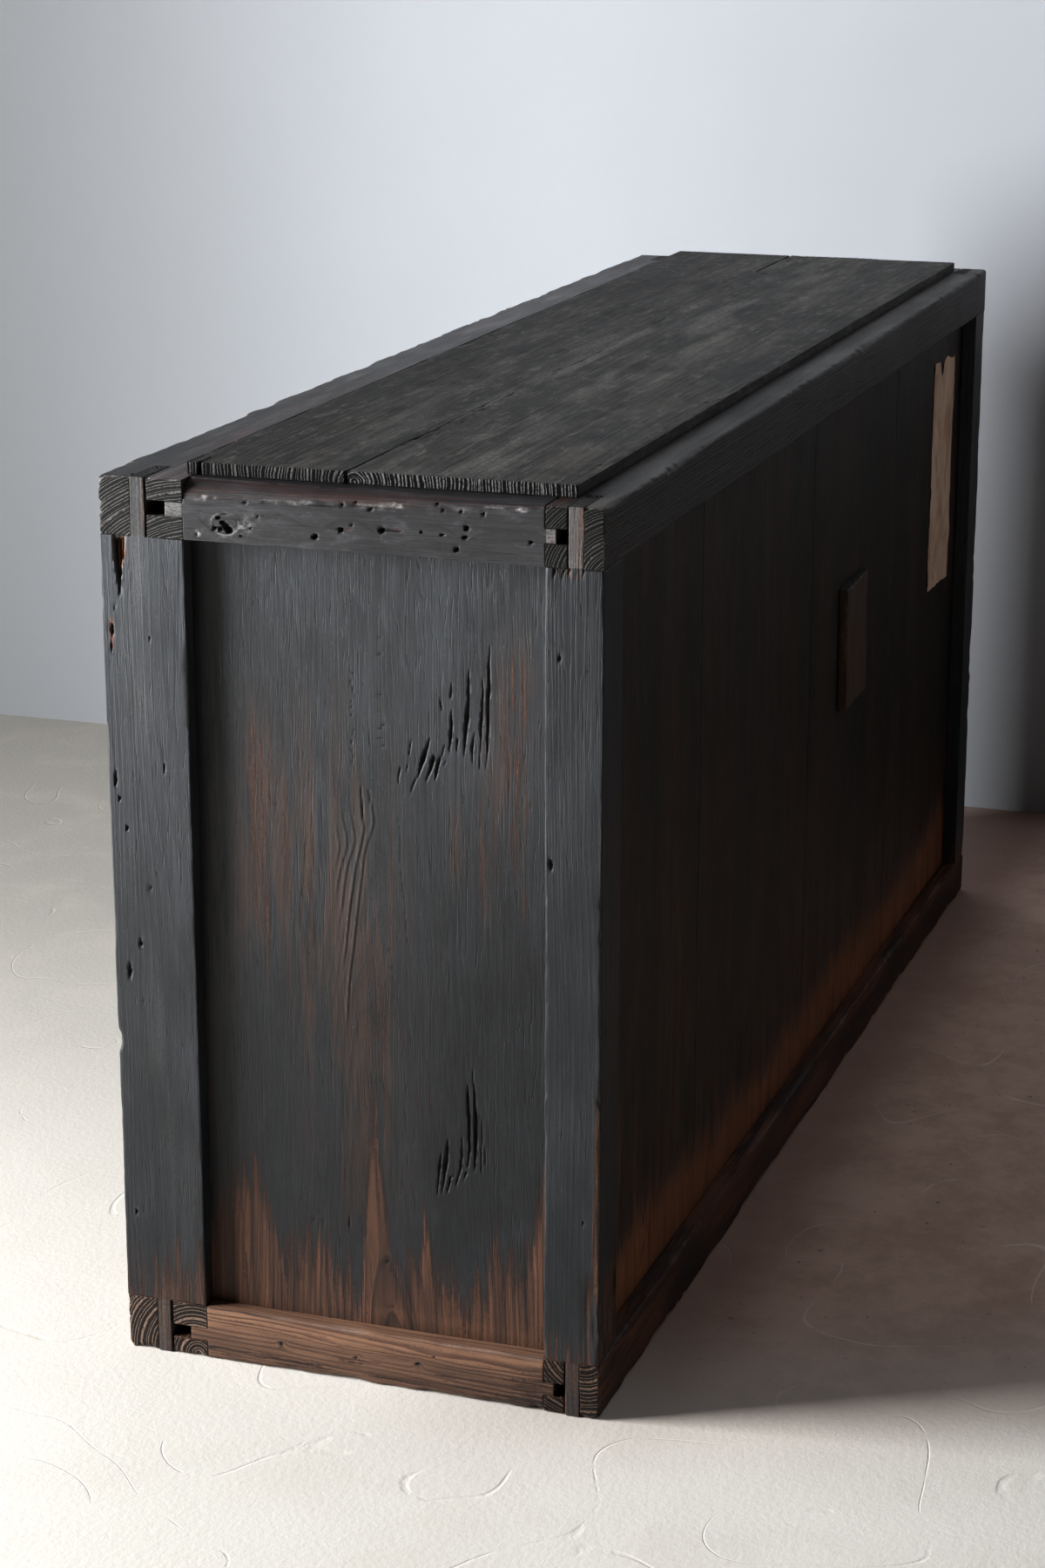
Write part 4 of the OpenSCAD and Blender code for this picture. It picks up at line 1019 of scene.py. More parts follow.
# Raised lines of hard grain round the buried knot: y, z
RIDGES = (
    (0.75, 0.55, ((2.5, 330), (4.4, 360), (6.3, 379), (8, 389), (10, 404), (12.5, 425), (15, 444), (17.8, 464),
                  (19.4, 479), (22.5, 492), (27, 502), (29, 511), (28, 519), (26, 530))),
    (0.75, 0.6, ((0, 380), (2.5, 398), (5, 420), (7.5, 440), (10, 456), (12, 468), (15, 481), (17.5, 491), (20, 504),
                 (18.5, 514))),
    (0.7, 0.5, ((-2.5, 422), (0, 435), (1.2, 447), (3.8, 465), (6.2, 475), (10, 485), (12, 494), (11.2, 501),
                (9.4, 510), (8.5, 519))),
    (0.7, 0.5, ((-5.6, 441), (-3.8, 454), (-1.2, 466), (0.6, 474), (3.1, 481), (5, 489), (3.8, 500), (1.2, 510),
                (0.9, 516))),
    (0.7, 0.4, ((-6, 466), (-4.4, 474), (-2.2, 482), (-1.9, 490), (-3.8, 500), (-5, 506))),
    (1.1, 0.25, ((-29, 387), (-27, 419), (-24.4, 437), (-22, 455), (-20, 485), (-20, 527))),
    (1.1, 0.25, ((-35, 397), (-33, 416), (-30, 447), (-27, 479), (-27, 511))),
    (1.1, 0.2, ((-40, 410), (-37, 444), (-35.6, 472), (-34.4, 519))),
    (1.1, 0.2, ((-44.4, 447), (-43, 492))),
)

# What is measured on the end's outer plane lies a little lower and further left on the panel behind it
PANEL_SCALE, PANEL_DY, PANEL_DZ = 1.0068, -6.60, -8.77

# Torn slits of the end panel, an upper cluster and a lower one: depth, then y, z and half width along each
PANEL_SLITS = (
    (2.4, ((128, 565, 0.3), (129, 590, 1.1), (130, 630, 1.4), (130.3, 645, 1.1), (131, 668, 0.3))),
    (2.0, ((122.5, 565, 0.4), (123, 585, 0.6), (123.8, 603, 1.2), (125, 625, 0.9), (125.5, 646, 0.3))),
    (3.0, ((109, 574, 0.4), (110, 592, 1.4), (111.5, 606, 2.1), (113, 622, 1.2), (112.8, 635, 1.1),
           (114, 648, 0.3))),
    (2.4, ((95.8, 574, 0.4), (97, 588, 1.1), (98, 600, 1.3), (98, 612, 0.3))),
    (1.8, ((115.6, 568, 0.3), (116, 583, 1.0), (118, 594, 0.3))), (1.4, ((102.6, 577, 0.3), (103.2, 588, 0.9))),
    (1.6, ((97.6, 622, 0.9), (98.5, 634, 0.5))), (1.4, ((90.2, 610, 0.4), (89, 616, 1.0), (88.5, 621, 0.4))),
    (3.2, ((69, 552, 0.5), (71, 560, 1.1), (73, 567, 1.9), (75.5, 575, 2.0), (77.5, 580, 1.0), (79.5, 587, 0.4))),
    (3.2, ((76, 550, 0.7), (79, 558, 1.1), (81.5, 567, 1.8), (83, 573, 0.8))),
    (2.8, ((83.6, 551, 0.5), (85.5, 561, 1.2), (87, 567, 1.3), (88.5, 572, 0.4))),
    (1.4, ((90, 573, 0.8), (92, 582, 0.4))), (1.4, ((63, 541, 0.5), (65, 547, 0.9), (68.4, 553, 0.5))),
    (1.3, ((61.5, 571, 0.6), (63, 584, 0.4))), (1.2, ((51.6, 546, 0.3), (51.8, 553, 0.7), (53.5, 560, 0.6))),
    (1.0, ((59, 557, 0.4), (60, 564, 0.4))), (1.0, ((91, 564, 0.7), (94, 570, 0.4))),
    (2.8, ((116.3, 212, 0.4), (117, 232, 1.7), (117.6, 258, 1.6), (116.5, 280, 0.9), (114.5, 308, 0.3))),
    (2.4, ((110, 216, 0.6), (112, 232, 1.0), (111.4, 262, 1.2), (110.4, 280, 1.0), (110.6, 290, 0.3))),
    (2.0, ((99.4, 197, 0.4), (101, 204, 0.9), (103.5, 212, 0.8), (105, 224, 0.9), (105.4, 243, 0.3))),
    (3.0, ((87, 189, 0.5), (89, 203, 1.2), (90.5, 217, 1.9), (92, 230, 1.3), (92.8, 239, 0.4))),
    (2.2, ((82.8, 187, 0.4), (84, 203, 0.9), (85, 213, 1.1), (86.6, 226, 0.3))),
    (2.0, ((91.6, 190, 0.6), (93.4, 198, 1.0), (94.5, 204, 0.9))), (1.8, ((106, 203, 0.5), (109, 211, 1.2))),
    (1.0, ((122, 213, 0.4), (122.6, 235, 0.5), (123.6, 266, 0.2))), (0.8, ((126, 221, 0.3), (126.4, 247, 0.3))),
)


def end_panel_right():
    def fine_y(y):
        return np.where((y > 40) & (y < 130), 0.9, np.where((y > -16) & (y < 26), 1.1, 2.5))

    def fine_z(z):
        return np.where(((z > 530) & (z < 666)) | ((z > 178) & (z < 305)), 1.6, 3.0)

    p = worn_piece("end_panel_right", 2, (3.0, fine_y, fine_z), (702, 26), (-0.05, 0.01), 5.0, (210, 46), soften=0,
                   swell=0.5, swell_size=(90, 90, 260))
    p.at = (p.rest - np.array([0, PANEL_DY, PANEL_DZ])) / np.array([1, PANEL_SCALE, PANEL_SCALE])
    y, z, axes, face = p.at[:, 1], p.at[:, 2], (1, 2), p.side(0, 1)
    # The grain swings round a buried knot near the middle
    p.ring += 7 * blob((y, 8, 24), (z, 470, 95), power=2)
    raise_grain(p, PANEL_YEAR, 0.05)
    for width, height, path in RIDGES:
        p.ridge(face, axes, path, width, height, 0.9 * height + 0.1)
    for depth, path in (
            (1.0, ((20.2, 508, 0.3), (19.6, 520, 0.9), (18.5, 540, 0.4))), (1.0, ((27, 524, 0.4), (25.6, 538, 0.6))),
            (0.3, ((58, 410, 0.3), (55.6, 444, 0.45), (53, 472, 0.45), (52.5, 504, 0.45), (50, 520, 0.3))),
            (0.3, ((47.5, 343, 0.3), (43.8, 387, 0.45), (39.4, 410, 0.3)))):
        p.slit(face, axes, path, depth)
    for y0, z0, r in ((-58.5, 517, 1.1), (-52, 477, 1.1), (-31, 390, 1.1), (37, 118, 1.4), (40, 77, 1.3)):
        p.hole_at(face, axes, (y0, z0), r, 1.4, 1.3)
    for depth, path in PANEL_SLITS:
        p.slit(face, axes, path, depth)
    for start, stop, width, depth in (((93, 203), (99, 206), 1.2, 1.4), ((-26, 160), (-20, 136), 1.0, 0.9),
                                      ((-31, 152), (-28, 136), 1.0, 0.9), ((2, 158), (3, 137), 1.0, 0.9)):
        p.tear_at(face, axes, start, stop, width, depth)
    # Worm holes in two loose upright lines
    for n in range(22):
        jump = [float(lattice(np.int64(n), np.int64(k), np.int64(5), 77)) for k in range(4)]
        p.hole_at(face, axes, (38 + 2.4 * jump[0], 690 - n * 5.6 + 5 * jump[1]), 0.65 + 0.25 * jump[2], 0.9, 1.3)
        p.hole_at(face, axes, (12 + 2.0 * jump[2], 645 - n * 4.2 + 5 * jump[3]), 0.6 + 0.2 * jump[0], 0.8, 1.3)
    # The bare foot, with dark and pale stripes a few millimetres wide that lean to the right going down
    top = np.interp(y, FLAME[:, 0], FLAME[:, 1]) + 6 * p.rough((6, 4, 90), 33) + 5 * p.noise((3, 3, 60), 34)
    top = top + 34 * unit(p.noise((200, 5, 90), 37) - 0.3)
    p.bare = np.clip(0.42 + (top - z) / 88, 0, 0.92)
    lean = np.stack([y * 0, y + 0.05 * (z - 90) * (y > 20), z], 1)
    stripes = noise(lean, (9, 4.2, 150), 35) + 0.6 * noise(lean, (9, 2.2, 110), 36)
    foot = ramp(z, top + 10, top - 25) * face
    p.tone += foot * np.clip(0.16 * stripes, -0.16, 0.12)
    p.bare -= foot * np.clip(-0.5 * stripes - 0.25, 0, 0.4)
    worn_off = np.zeros_like(y)
    for y0, z0, sy, sz, much in ((-78, 545, 3.5, 60, 0.42), (-72, 470, 12, 110, 0.36), (-48, 480, 7, 60, 0.34),
                                 (154, 590, 13, 70, 0.46), (151, 520, 6, 60, 0.4), (100, 500, 6, 34, 0.38),
                                 (108, 480, 4, 40, 0.36), (126, 470, 5, 40, 0.32), (165, 452, 8, 14, 0.36),
                                 (-30, 420, 8, 90, 0.34), (-15, 520, 5, 60, 0.3), (30, 320, 10, 90, 0.34),
                                 (76, 250, 3, 50, 0.4), (-22, 215, 4, 50, 0.34), (-125, 420, 6, 220, 0.3)):
        shape = blob((y, y0, sy), (z, z0, sz))
        p.least(bare=0.78 * much * shape)
        worn_off = np.maximum(worn_off, shape)
    middle = np.exp(-((y - 4 - (z - 400) * -0.06) / 46) ** 2 - ((z - 400) / 170) ** 2)
    left, right, low = (blob((y, y0, sy), (z, z0, sz), power=2)
                        for y0, z0, sy, sz in ((-78, 440, 34, 90), (150, 540, 30, 100), (12, 230, 40, 90)))
    p.tint = unit(0.95 * middle + 0.6 * left + 0.5 * right + 0.8 * worn_off + 0.5 * low)
    p.least(wear=0.1 * middle * face)
    marks = p.tone - 0.5
    # painted light: lighter high up, darker towards the floor
    shade_by_height(p, (0.1, 0.05, 0.075, 0.24, 0.42, 0.45), 0.03 * p.rough((80, 50, 160), 91))
    p.tone -= 0.08 * ramp(y, 60, 130) * ramp(z, 560, 470) * ramp(z, 150, 220)
    p.tone -= 0.03 * ramp(z, 420, 330) * ramp(z, 150, 220)
    # painted shadow of the front post on the panel's left side
    p.tone -= 0.3 * ramp(y, -86, -106) * ramp(z, 330, 520)
    p.tone -= 0.05 * ramp(y, -60, -110) * ramp(z, 190, 120)
    p.tone += (marks + 0.11 * np.clip(p.bare - 0.4, 0, 0.5) / 0.5 * ramp(z, 90, 170)
               + 0.06 * ramp(y, 60, 120) * ramp(z, 200, 100))
    # two dark smudges near the foot, the painted shadow of the front post at the upper left, and a lighter band low
    # down
    for y0, z0, sy, sz, change in ((-46, 96, 5, 7, -0.1), (-4, 95, 4, 6, -0.1), (-120, 640, 20, 90, -0.2),
                                   (75, 70, 80, 5, 0.06)):
        p.tone += change * blob((y, y0, sy), (z, z0, sz)) * face
    p.tone = unit(p.tone)
    p.bare *= p.x > X_PANEL - 0.6
    p.merge_face(0, -1)
    return p


def end_panel_left():
    p = worn_piece("end_panel_left", 2, (3.0, 3.2, 4.2), (-700, 10), (0.05, 0.01), 5.0, (210, 46), soften=0,
                   swell=0.5, swell_size=(90, 90, 260))
    raise_grain(p, PANEL_YEAR, 0.06)
    foot_bare(p, 130, 120, size=(16, 16, 400), drift=60)
    p.bare *= p.x < -X_PANEL + 0.6
    p.tint = unit(0.2 + 0.6 * p.rough((50, 50, 260), 45))
    return p


def back_board(number, near, offset):
    node = f"back_board_{number}"
    lo, hi = np.round(extent(node), 2)
    p = worn_piece(node, 2, (near, 3.0, 4.0), ((lo[0] + hi[0]) / 2 + offset, Y_BOARDS - 55), (0.012, 0.03), 5.0,
                   (240, 50), soften=4, swell=0.5, swell_size=(90, 90, 260))
    outer, x, z = p.side(1, 1), p.x, p.z
    raise_grain(p, BACK_YEAR, 0.08, outer)
    # The bare foot climbs towards the left end
    top = np.interp(x, (-707, -600, -450, -200, 0, 200, 400, 560, 640, 700),
                    (138, 128, 122, 118, 120, 114, 120, 122, 112, 98))
    top = top + 10 * p.rough((60, 60, 300), 41) + 7 * p.noise((5, 5, 200), 43)
    broad = noise(np.stack([x, x * 0, x * 0], 1), (110, 110, 110), 45)
    p.bare = np.clip(0.45 + (top - z) / 80, 0, 0.9) - 0.14 * unit(broad)
    p.tone += 0.05 * broad * ramp(z, 170, 110)
    p.least(bare=0.36 * blob((x, 655, 34), (z, 190, 70)))
    p.least(bare=0.32 * ramp(x, -560, -700) * ramp(z, 300, 180))
    p.bare *= p.y > Y_BOARDS - 0.6
    p.tint = unit(0.5 * p.rough((40, 40, 260), 44) + 0.25 + 0.5 * ramp(z, top + 160, top))
    return p


def post_left(node, pith, outer):
    p = worn_piece(node, 2, (3.6, 3.6, 6.0), pith, (0.01, 0.0), soften=4, swell=0.3, swell_size=(140, 140, 140),
                   arrises=(("-x" + outer, 1.3, 5, 40, 3.0),))
    foot_bare(p, 60, 90, 0.9)
    return p


def whole_piece(node, lines, axis):
    """A piece that is one block of cells."""
    return Piece(node + "_wood", lines, np.ones([len(line) - 1 for line in lines], bool), axis)


def top_board():
    """The top board lies between four corners and has a long check from each end."""
    co = coordinates(frame["nodes"]["top_board"].data)
    z0, z1 = co[:, 2].min(), co[:, 2].max()
    fr, br, bl, fl = (co[np.argmax(co[:, 0] * sx + co[:, 1] * sy * 1.5)][:2]
                      for sx, sy in ((1, -1), (1, 1), (-1, 1), (-1, -1)))
    length, width, check = fr[0] - fl[0], br[1] - fr[1], 140.0
    u = length - grid_lines([0, length], lambda s: np.minimum(6.5, 1.6 + s * 0.008))[::-1]
    v = grid_lines([0, 12, check - 0.8, check + 0.8, width], 2.2)
    p = whole_piece("top_board", [u, v, grid_lines([z0, z1], 2.6)], 0)
    p.merge_face(2, -1)
    a, b = p.x / length, p.y / width
    left = np.outer(1 - b, fl) + np.outer(b, bl)
    right = np.outer(1 - b, fr) + np.outer(b, br)
    across = p.y.copy()
    p.rest[:, :2] = left * (1 - a)[:, None] + right * a[:, None]
    p.verts = p.rest.copy()
    p.lo, p.hi = p.rest.min(0), p.rest.max(0)
    p.rings((2, z1 - 7), (0.006, 0.0), 2.6, (420, 34))
    p.soften(7)
    x, y, top = p.x, p.y, p.side(2, 1)
    p.push(0.5 * top * np.clip(0.5 + p.rough((260, 40, 50), 51), 0, 1.6))
    raise_grain(p, TOP_YEAR, 0.3, top)
    # Checks from both ends, and the short one near the front corner
    y_check = fr[1] + check
    for line, x_from, long, wide, sign in ((y_check, fr[0], 240.0, 1.7, 1), (fl[1] + check, fl[0], 180.0, 1.7, -1),
                                           (fr[1] + 12, fr[0], 26.0, 3.0, 1)):
        t = (x_from - x) * sign / long
        half = wide / 2 * unit(1 - t)
        wavy = line + 1.6 * noise(np.stack([x, x * 0, x * 0], 1), [60] * 3, 52)
        cut = ramp(np.abs(y - wavy), half + 0.35, half * 0.4) * (t > -0.2) * (t < 1)
        # the checks are painted near-black as shade
        p.least(pit=cut)
        p.verts[:, 2] -= 7.0 * cut * top
        p.verts[:, 0] -= sign * 9.0 * cut * p.side(0, sign)
    # Torn grain beside the heart, from the check towards the middle
    heart = top * np.exp(-((y - y_check - 6) / 13) ** 2) * ramp(x, fr[0] - 60, fr[0] - 150)
    torn = np.clip(p.noise((14, 3.4, 8), 57) + 0.5 * p.noise((6, 2.5, 8), 58), -1, 1) * heart
    p.push(1.1 * unit(torn))
    p.least(pit=0.7 * unit(torn - 0.3), wear=0.9 * unit(-torn - 0.1))
    p.wear_arris("+x+z", 1.0, 4, 16, 1.6)
    for off, reach, depth, size, seed in ((across, 7, 1.2, 30, 53), (width - across, 6, 1.0, 40, 54)):
        p.push(depth * (ramp(off, reach, 0) * top) * unit(0.4 + p.rough((size, 8, 8), seed)))
    # Scoured patches, pale along the middle, with dark blotches
    belt = np.exp(-((y - 40) / 90) ** 2)
    p.least(wear=top * unit(0.15 + 0.75 * belt * (0.45 + p.rough((130, 22, 50), 55))))
    p.tint = top * unit(0.3 + 0.6 * p.rough((150, 30, 50), 56))
    blotch = unit(p.noise((75, 34, 50), 59) + 0.5 * p.noise((26, 14, 50), 60) - 0.12)
    streak = np.clip(p.noise((190, 6, 50), 61) + 0.4 * p.noise((60, 3.4, 50), 62), -1, 1)
    p.tone += top * (0.05 + 0.11 * streak * (0.4 + belt) - 0.34 * blotch)
    for x0, y0, r in ((-300, 120, 2.0), (180, -90, 1.6), (420, 60, 1.4)):
        p.hole_at(top, (0, 1), (x0, y0), r, 2.0, 0.6)
    return p


def patch_block():
    """The block lies askew, so it is made upright and then turned."""
    lo, hi = extent("patch_block")
    p = whole_piece("patch_block", [grid_lines([-s / 2, s / 2], 1.8) for s in (90.0, 9.5, 134.0)], 2)
    p.rings((20, -40), (0.02, 0.02), 2.0, (120, 20))
    p.soften(7)
    p.undulate(0.5, (40, 40, 60))
    for faces, depth, size, chips in (("-x+y", 1.4, 20, 1.6), ("+x+y", 1.4, 20, 1.6), ("-z+y", 1.6, 14, 2.2),
                                      ("+z+y", 1.6, 14, 2.2)):
        p.wear_arris(faces, depth, 4, size, chips)
    p.bare = unit(0.35 + 0.5 * p.rough((20, 20, 70), 61))
    turn = np.array(Matrix.Rotation(math.radians(2.5), 3, "Y"))
    p.verts = p.verts @ turn.T + (lo + hi) / 2
    return p


def round_ends(p, pocket):
    """Draws a square-ended upright pocket in a front face in to two round ends. pocket is its lowest and highest
    corner."""
    lo, hi = pocket
    middle, half = (lo + hi) / 2, (hi - lo) / 2
    far = p.hi[0] - middle[0]
    dx, dz = p.x - middle[0], np.abs(p.z - middle[2])
    narrow = np.sqrt(1 - (0.97 * unit((dz - half[2] + half[0]) / half[0])) ** 2)
    narrow = np.where(dz > half[2] + 0.01, 0.24 + 0.76 * ramp(dz, half[2], half[2] + 6), narrow)
    wall = half[0] * narrow
    beyond = wall + (np.abs(dx) - half[0]) * (far - wall) / (far - half[0])
    moved = np.where(np.abs(dx) <= half[0], dx * narrow, np.sign(dx) * beyond)
    p.verts[:, 0] += np.where(p.y < hi[1] + 0.01, moved - dx, 0)


def pocket_of(node):
    """Lowest and highest corner of the round-ended finger pull in a stile."""
    mesh = frame["nodes"][node].data
    rows = [i for poly in mesh.polygons if not is_straight(poly) for i in poly.vertices]
    bent = coordinates(mesh)[rows]
    return bent.min(0), bent.max(0)


def build_case():
    out = {make.__name__: make() for make in (
        front_top_rail, front_bottom_rail, back_top_rail, back_bottom_rail, front_post_right, back_post_right,
        end_panel_right, end_panel_left, top_board, patch_block)}
    for name, side in SIDES:
        out["end_top_rail_" + name] = end_top_rail(side, name)
        out["end_bottom_rail_" + name] = end_bottom_rail(side, name)
    out["front_post_left"] = post_left("front_post_left", (-690, -150), "-y")
    out["back_post_left"] = post_left("back_post_left", (-680, 262), "+y")
    for number, near, offset in ((1, 2.6, 20), (2, 3.4, -60), (3, 3.6, 50), (4, 3.8, -30)):
        out[f"back_board_{number}"] = back_board(number, near, offset)
    return out


def inner_pieces():
    """Rails, boards and runners inside, the doors and the drawers."""
    out = {}

    def add(node, axis, spacing, pith, slope, wobble=2.0, soften=3, swell=0.2, pocket=None):
        out[node] = worn_piece(node, axis, spacing, pith, slope, wobble, soften=soften, swell=swell,
                               swell_size=(140, 140, 140), pocket=pocket)
        return out[node]

    for node in ("floor_board_front", "floor_board_back", "deck_board"):
        lo, hi = extent(node)
        add(node, 0, (30, 9, 4), ((lo[1] + hi[1]) / 2, lo[2] - 60), (0.01, 0.02), 4.0)
    for node in ("floor_batten_1", "floor_batten_2", "floor_batten_3"):
        lo, hi = extent(node)
        add(node, 1, (8, 20, 8), (lo[0] - 20, lo[2] - 25), (0.01, 0.01), soften=3)
    for node, fine in (("middle_front_rail", 2.6), ("middle_back_rail", 8)):
        lo, hi = extent(node)
        add(node, 0, (9, fine, fine), (hi[1] + 20, lo[2] - 18), (0.0, 0.004), soften=4)
    for node, axis, pith in (("drawer_divider", 2, (40, -120)), ("centre_bearer", 1, (30, 520)),
                             ("centre_guide", 1, (30, 560)), ("drawer_runner_right", 1, (760, 540)),
                             ("drawer_runner_left", 1, (-760, 540))):
        add(node, axis, (5, 8, 5), pith, (0.01, 0.01))
    for name, side in SIDES:
        for part, axis, spacing in (("closing_stile", 2, (1.8, 2.6, 3.5)), ("inner_stile", 2, (3, 3, 5)),
                                    ("top_rail", 0, (6, 3, 3)), ("bottom_rail", 0, (6, 3, 3)),
                                    ("panel", 2, (6, 4, 7))):
            node = f"door_{name}_{part}"
            lo, hi = extent(node)
            x, y, z = (lo + hi) / 2
            p = add(node, axis, spacing, (y + 30, z - 20 * side) if axis == 0 else (x + 25 * side, y + 40),
                    (0.02, 0.02), 4.0 if part == "panel" else 2.0, swell=0.15,
                    pocket=pocket_of(node) if part == "closing_stile" else None)
            p.tint = unit(0.25 + 0.5 * p.rough((120, 120, 120), 71))
            foot_bare(p, 60, 120, 0.8, drift=40)
        for part, axis, spacing in (("front", 0, (6, 3, 3)), ("side_outer", 1, (4, 12, 6)),
                                    ("side_inner", 1, (4, 12, 6)), ("back", 0, (14, 4, 6)),
                                    ("bottom", 0, (16, 12, 4))):
            node = f"drawer_{name}_{part}"
            lo, hi = extent(node)
            x, y, z = (lo + hi) / 2
            p = add(node, axis, spacing, (y + 60, z - 20) if axis == 0 else (x + 50, z - 30), (0.02, 0.03), 4.0,
                    swell=0.15)
            if part == "front":
                p.tint = unit(0.25 + 0.5 * p.rough((160, 120, 40), 72))
                p.least(wear=0.5 * ramp(np.hypot(p.x - x, p.z - 655), 90, 20) * p.side(1, -1))
    return out


PAPER_THICKNESS = 0.3


def paper_label():
    """Aged paper, torn along its edges and lifting a little from the board."""
    lo, hi = extent("paper_label")
    width, height = hi[0] - lo[0], hi[2] - lo[2]
    rows, columns = 46, 110
    u, v = (c.ravel() for c in np.meshgrid(np.linspace(0, 1, rows), np.linspace(0, 1, columns), indexing="ij"))

    def torn(place, size, seed):
        return rough_noise(place, [size] * 3, seed)

    along = np.stack([u * 0, u * 0, v * height], 1)
    across = np.stack([u * width, u * 0, u * 0], 1)
    left = 1.0 + 1.6 * (torn(along, 14, 81) * 0.5 + 0.4)
    right = width - 1.6 - 1.8 * (torn(along, 11, 82) * 0.5 + 0.5)
    notch = 20 * np.exp(-((u * width - (width - 44)) / 9) ** 2) + 6 * ramp(u, 0.45, 0.1)
    top = height - 1.0 - notch - 2.2 * np.abs(torn(across, 9, 83))
    bottom = 1.0 + 1.8 * np.abs(torn(across, 12, 84)) + 4 * u
    x = lo[0] + left + (right - left) * u
    z = lo[2] + bottom + (top - bottom) * v
    place = np.stack([x, z * 0, z], 1)
    edge = np.minimum(np.minimum(u, 1 - u) * width, np.minimum(v, 1 - v) * height)
    lift = 0.25 + 0.25 * rough_noise(place, (30, 30, 60), 85)
    lift = lift + 0.9 * ramp(edge, 9, 0) * unit(rough_noise(place, (16, 16, 22), 86))
    y = lo[1] + np.clip(lift, 0.1, 1.4)
    verts = np.concatenate([np.stack([x, y + raised, z], 1) for raised in (PAPER_THICKNESS, 0)])
    count = rows * columns
    ids = np.arange(count).reshape(rows, columns)
    front = np.stack([ids[:-1, :-1], ids[:-1, 1:], ids[1:, 1:], ids[1:, :-1]], -1).reshape(-1, 4)
    faces = [front, front[:, ::-1] + count]
    for ring in (ids[0, :], ids[-1, ::-1], ids[::-1, 0], ids[:, -1]):
        faces.append(np.stack([ring[:-1], ring[:-1] + count, ring[1:] + count, ring[1:]], 1))
    mesh = bpy.data.meshes.new("paper_strip")
    mesh.from_pydata((verts * MM).tolist(), [], np.concatenate(faces).tolist())
    finish_mesh(mesh, PAPER_ANGLE, MATERIALS["old_paper"])
    obj = add_object("paper_strip", mesh)
    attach(obj, BODY["paper_label"])
    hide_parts("paper_label")


# Woods that differ from the material slot's name
FINISH = {
    "front_top_rail": "rail_wood", "back_top_rail": "back_rail_wood", "front_bottom_rail": "bare_wood",
    "back_bottom_rail": "foot_wood", "end_bottom_rail_right": "bare_wood", "end_bottom_rail_left": "bare_wood",
    "end_panel_right": "panel_wood", "end_panel_left": "panel_wood", "end_top_rail_right": "rail_wood",
    "end_top_rail_left": "rail_wood", "top_board": "top_wood", "patch_block": "patch_wood",
}

for node, piece in {**build_case(), **inner_pieces()}.items():
    piece.build(node, MATERIALS[FINISH.get(node, SLOT[node])])
paper_label()
for node in ("nails", "drawer_right_eyes", "drawer_right_handle", "drawer_left_eyes", "drawer_left_handle"):
    solid = frame["nodes"][node]
    solid.data.materials.clear()
    solid.data.materials.append(MATERIALS["iron"])


# Floor, wall, light and camera

def plate(name, corners, material):
    mesh = bpy.data.meshes.new(name)
    mesh.from_pydata(corners, [], [tuple(range(len(corners)))])
    mesh.materials.append(material)
    obj = add_object(name, mesh)


# Where the chest's back stands on the floor, in metres
CHEST_BACK = 0.2265


def floor_material():
    n = new_nodes("pale_floor")
    place = n.place()
    x, y, _ = n.parts("ShaderNodeSeparateXYZ", place)
    broad = n.noise(place, (1.6, 1.6, 1.6), 4.0, 0.55)
    patch = n.noise(place, (9, 9, 9), 5.0, 0.6, 0.4)
    grit = n.noise(place, (160, 160, 160), 4.0, 0.65)
    # painted shade: the floor darkens towards the left and back, away from the window's light
    far = (x * 0.8 + y).span(0.6, -1.3)
    # Behind the chest the floor is bare and scratched; its browner, darker colour there is painted shadow, darkest
    # close to the chest's back
    back = (x + (y - CHEST_BACK) * 0.4).span(0.9, 0.5) * y.span(0.0, 0.24)
    stains = n.noise(place, (11, 11, 11), 8.0, 0.72)
    pits = n.noise(place, (95, 95, 95), 2.0, 0.5)
    curl = n.noise(place, (2.6, 3.4, 3), 1.5, 0.4).level_lines(9.0)
    scratch = curl.span(0.02, 0.004) * patch.span(0.47, 0.57)
    scuffed_and_shaded = n.coats((224, 190, 173), (stains.span(0.38, 0.64), (199, 164, 147)),
                    (pits.span(0.7, 0.74, 0, 0.7), (120, 92, 80)), (scratch * 0.7, (244, 222, 208)),
                    (grit.span(0.6, 0.8, 0, 0.4), (150, 118, 104)), (y.span(0.36, 0.24, 0.0, 0.8), (130, 97, 83)))
    colour = n.coats((230, 224, 215), (broad.span(0.35, 0.65), (221, 215, 206)), (far * 0.85, (165, 159, 151)),
                     (patch.span(0.45, 0.75, 0, 0.3), (208, 199, 188)),
                     (grit.span(0.62, 0.8, 0, 0.3), (160, 150, 140)), (back, scuffed_and_shaded))
    height = patch * 0.8 + grit * 0.5 - scratch * 0.5
    return n.finish(n.surface(colour, 0.8, height, 0.35, 0.002))


def wall_material():
    """A plain wall that shows from the room's side only."""
    n = new_nodes("pale_wall")
    place = n.place()
    _, y, z = n.parts("ShaderNodeSeparateXYZ", place)
    broad = n.noise(place, (1.2, 1.2, 1.2), 3.0, 0.5)
    # painted shade: the wall is darker to the left and low down; painted light: it is lighter to the right
    shade_left_and_low = n.math("MAXIMUM", y.span(-0.3, -1.4), z.span(0.75, 0.05) * 0.6)
    colour = n.coats((188, 190, 196), (broad.span(0.3, 0.7), (181, 184, 190)), (shade_left_and_low * 0.95, (126, 127, 129)),
                     (y.span(0.4, 1.2, 0.0, 0.95), (249, 250, 252)))
    behind = n.add("ShaderNodeNewGeometry", None, "Backfacing")
    shadow = n.add("ShaderNodeLightPath", None, "Is Shadow Ray")
    return n.finish(n.add("ShaderNodeMixShader", i0=n.math("MAXIMUM", behind, shadow), i1=n.surface(colour, 0.9),
                          i2=n.add("ShaderNodeBsdfTransparent")))


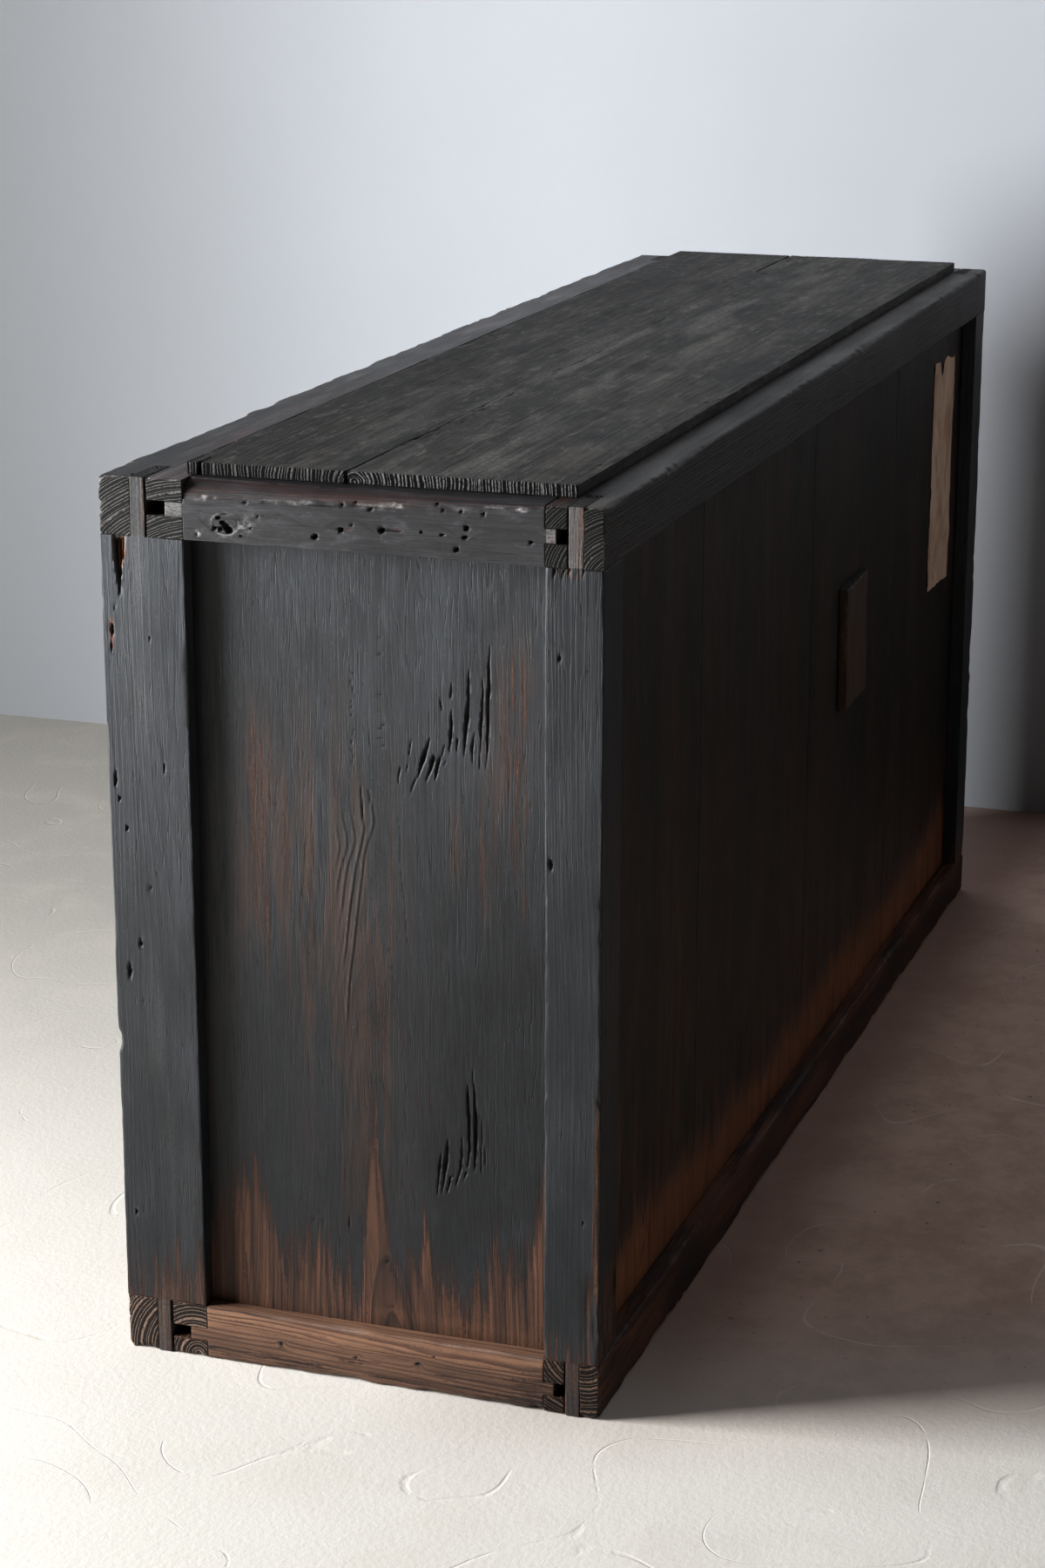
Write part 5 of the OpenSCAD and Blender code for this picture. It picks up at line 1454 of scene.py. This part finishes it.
REACH, WALL_X, WALL_REACH, WALL_TOP = 9, -1.12, 5, 3.2
plate("floor", [(x * REACH, y * REACH, 0) for x, y in ((-1, -1), (1, -1), (1, 1), (-1, 1))], floor_material())
plate("wall", [(WALL_X, y * WALL_REACH, z) for y, z in ((-1, 0), (1, 0), (1, WALL_TOP), (-1, WALL_TOP))],
      wall_material())


def area_light(name, where, target, size, power, colour):
    light = bpy.data.lights.new(name, "AREA")
    light.shape, light.size, light.size_y = "RECTANGLE", size[0], size[1]
    light.energy, light.color = power, colour
    obj = add_object(name, light)
    obj.location = where
    obj.rotation_euler = (Vector(target) - Vector(where)).to_track_quat("-Z", "Y").to_euler()


area_light("window", (1.72, -2.5, 1.05), (1.72, 0.0, 1.0), (1.25, 2.05), 350, (0.95, 0.98, 1.0))
area_light("ceiling", (1.2, 0.6, 4.0), (0.4, 0.1, 0.3), (3.0, 3.0), 4, (0.97, 0.98, 1.0))

# The camera sees a pale background, and gloss sees a little of it. The room's own light is dim
world = bpy.data.worlds.new("room")
bpy.context.scene.world = world
n = Nodes(world)
camera_ray, glass_ray, gloss_ray = (n.add("ShaderNodeLightPath", None, f"Is {kind} Ray")
                                    for kind in ("Camera", "Transmission", "Glossy"))
GLOSS_SHARE, DIM_STRENGTH = 0.06, 0.022
share = n.math("MULTIPLY_ADD", gloss_ray, GLOSS_SHARE, n.math("MAXIMUM", camera_ray, glass_ray))
dim = n.add("ShaderNodeBackground", Color=(1.0, 0.97, 0.93, 1), Strength=DIM_STRENGTH)
pale = n.add("ShaderNodeBackground", Color=rgb(206, 212, 222), Strength=1.0)
n.new("ShaderNodeOutputWorld", i0=n.add("ShaderNodeMixShader", i0=share, i1=dim, i2=pale))

lens = bpy.data.cameras.new("camera")
lens.lens, lens.sensor_width = 74.16, 36
camera = add_object("camera", lens)
azimuth, elevation = math.radians(19.042), math.radians(16.432)
towards = -Vector((math.cos(elevation) * math.cos(azimuth), math.cos(elevation) * math.sin(azimuth),
                   math.sin(elevation)))
camera.location = (3.1125, 0.9717, 1.2903)
camera.rotation_euler = towards.to_track_quat("-Z", "Y").to_euler()
bpy.context.scene.camera = camera
bpy.context.scene.view_settings.view_transform = "Standard"
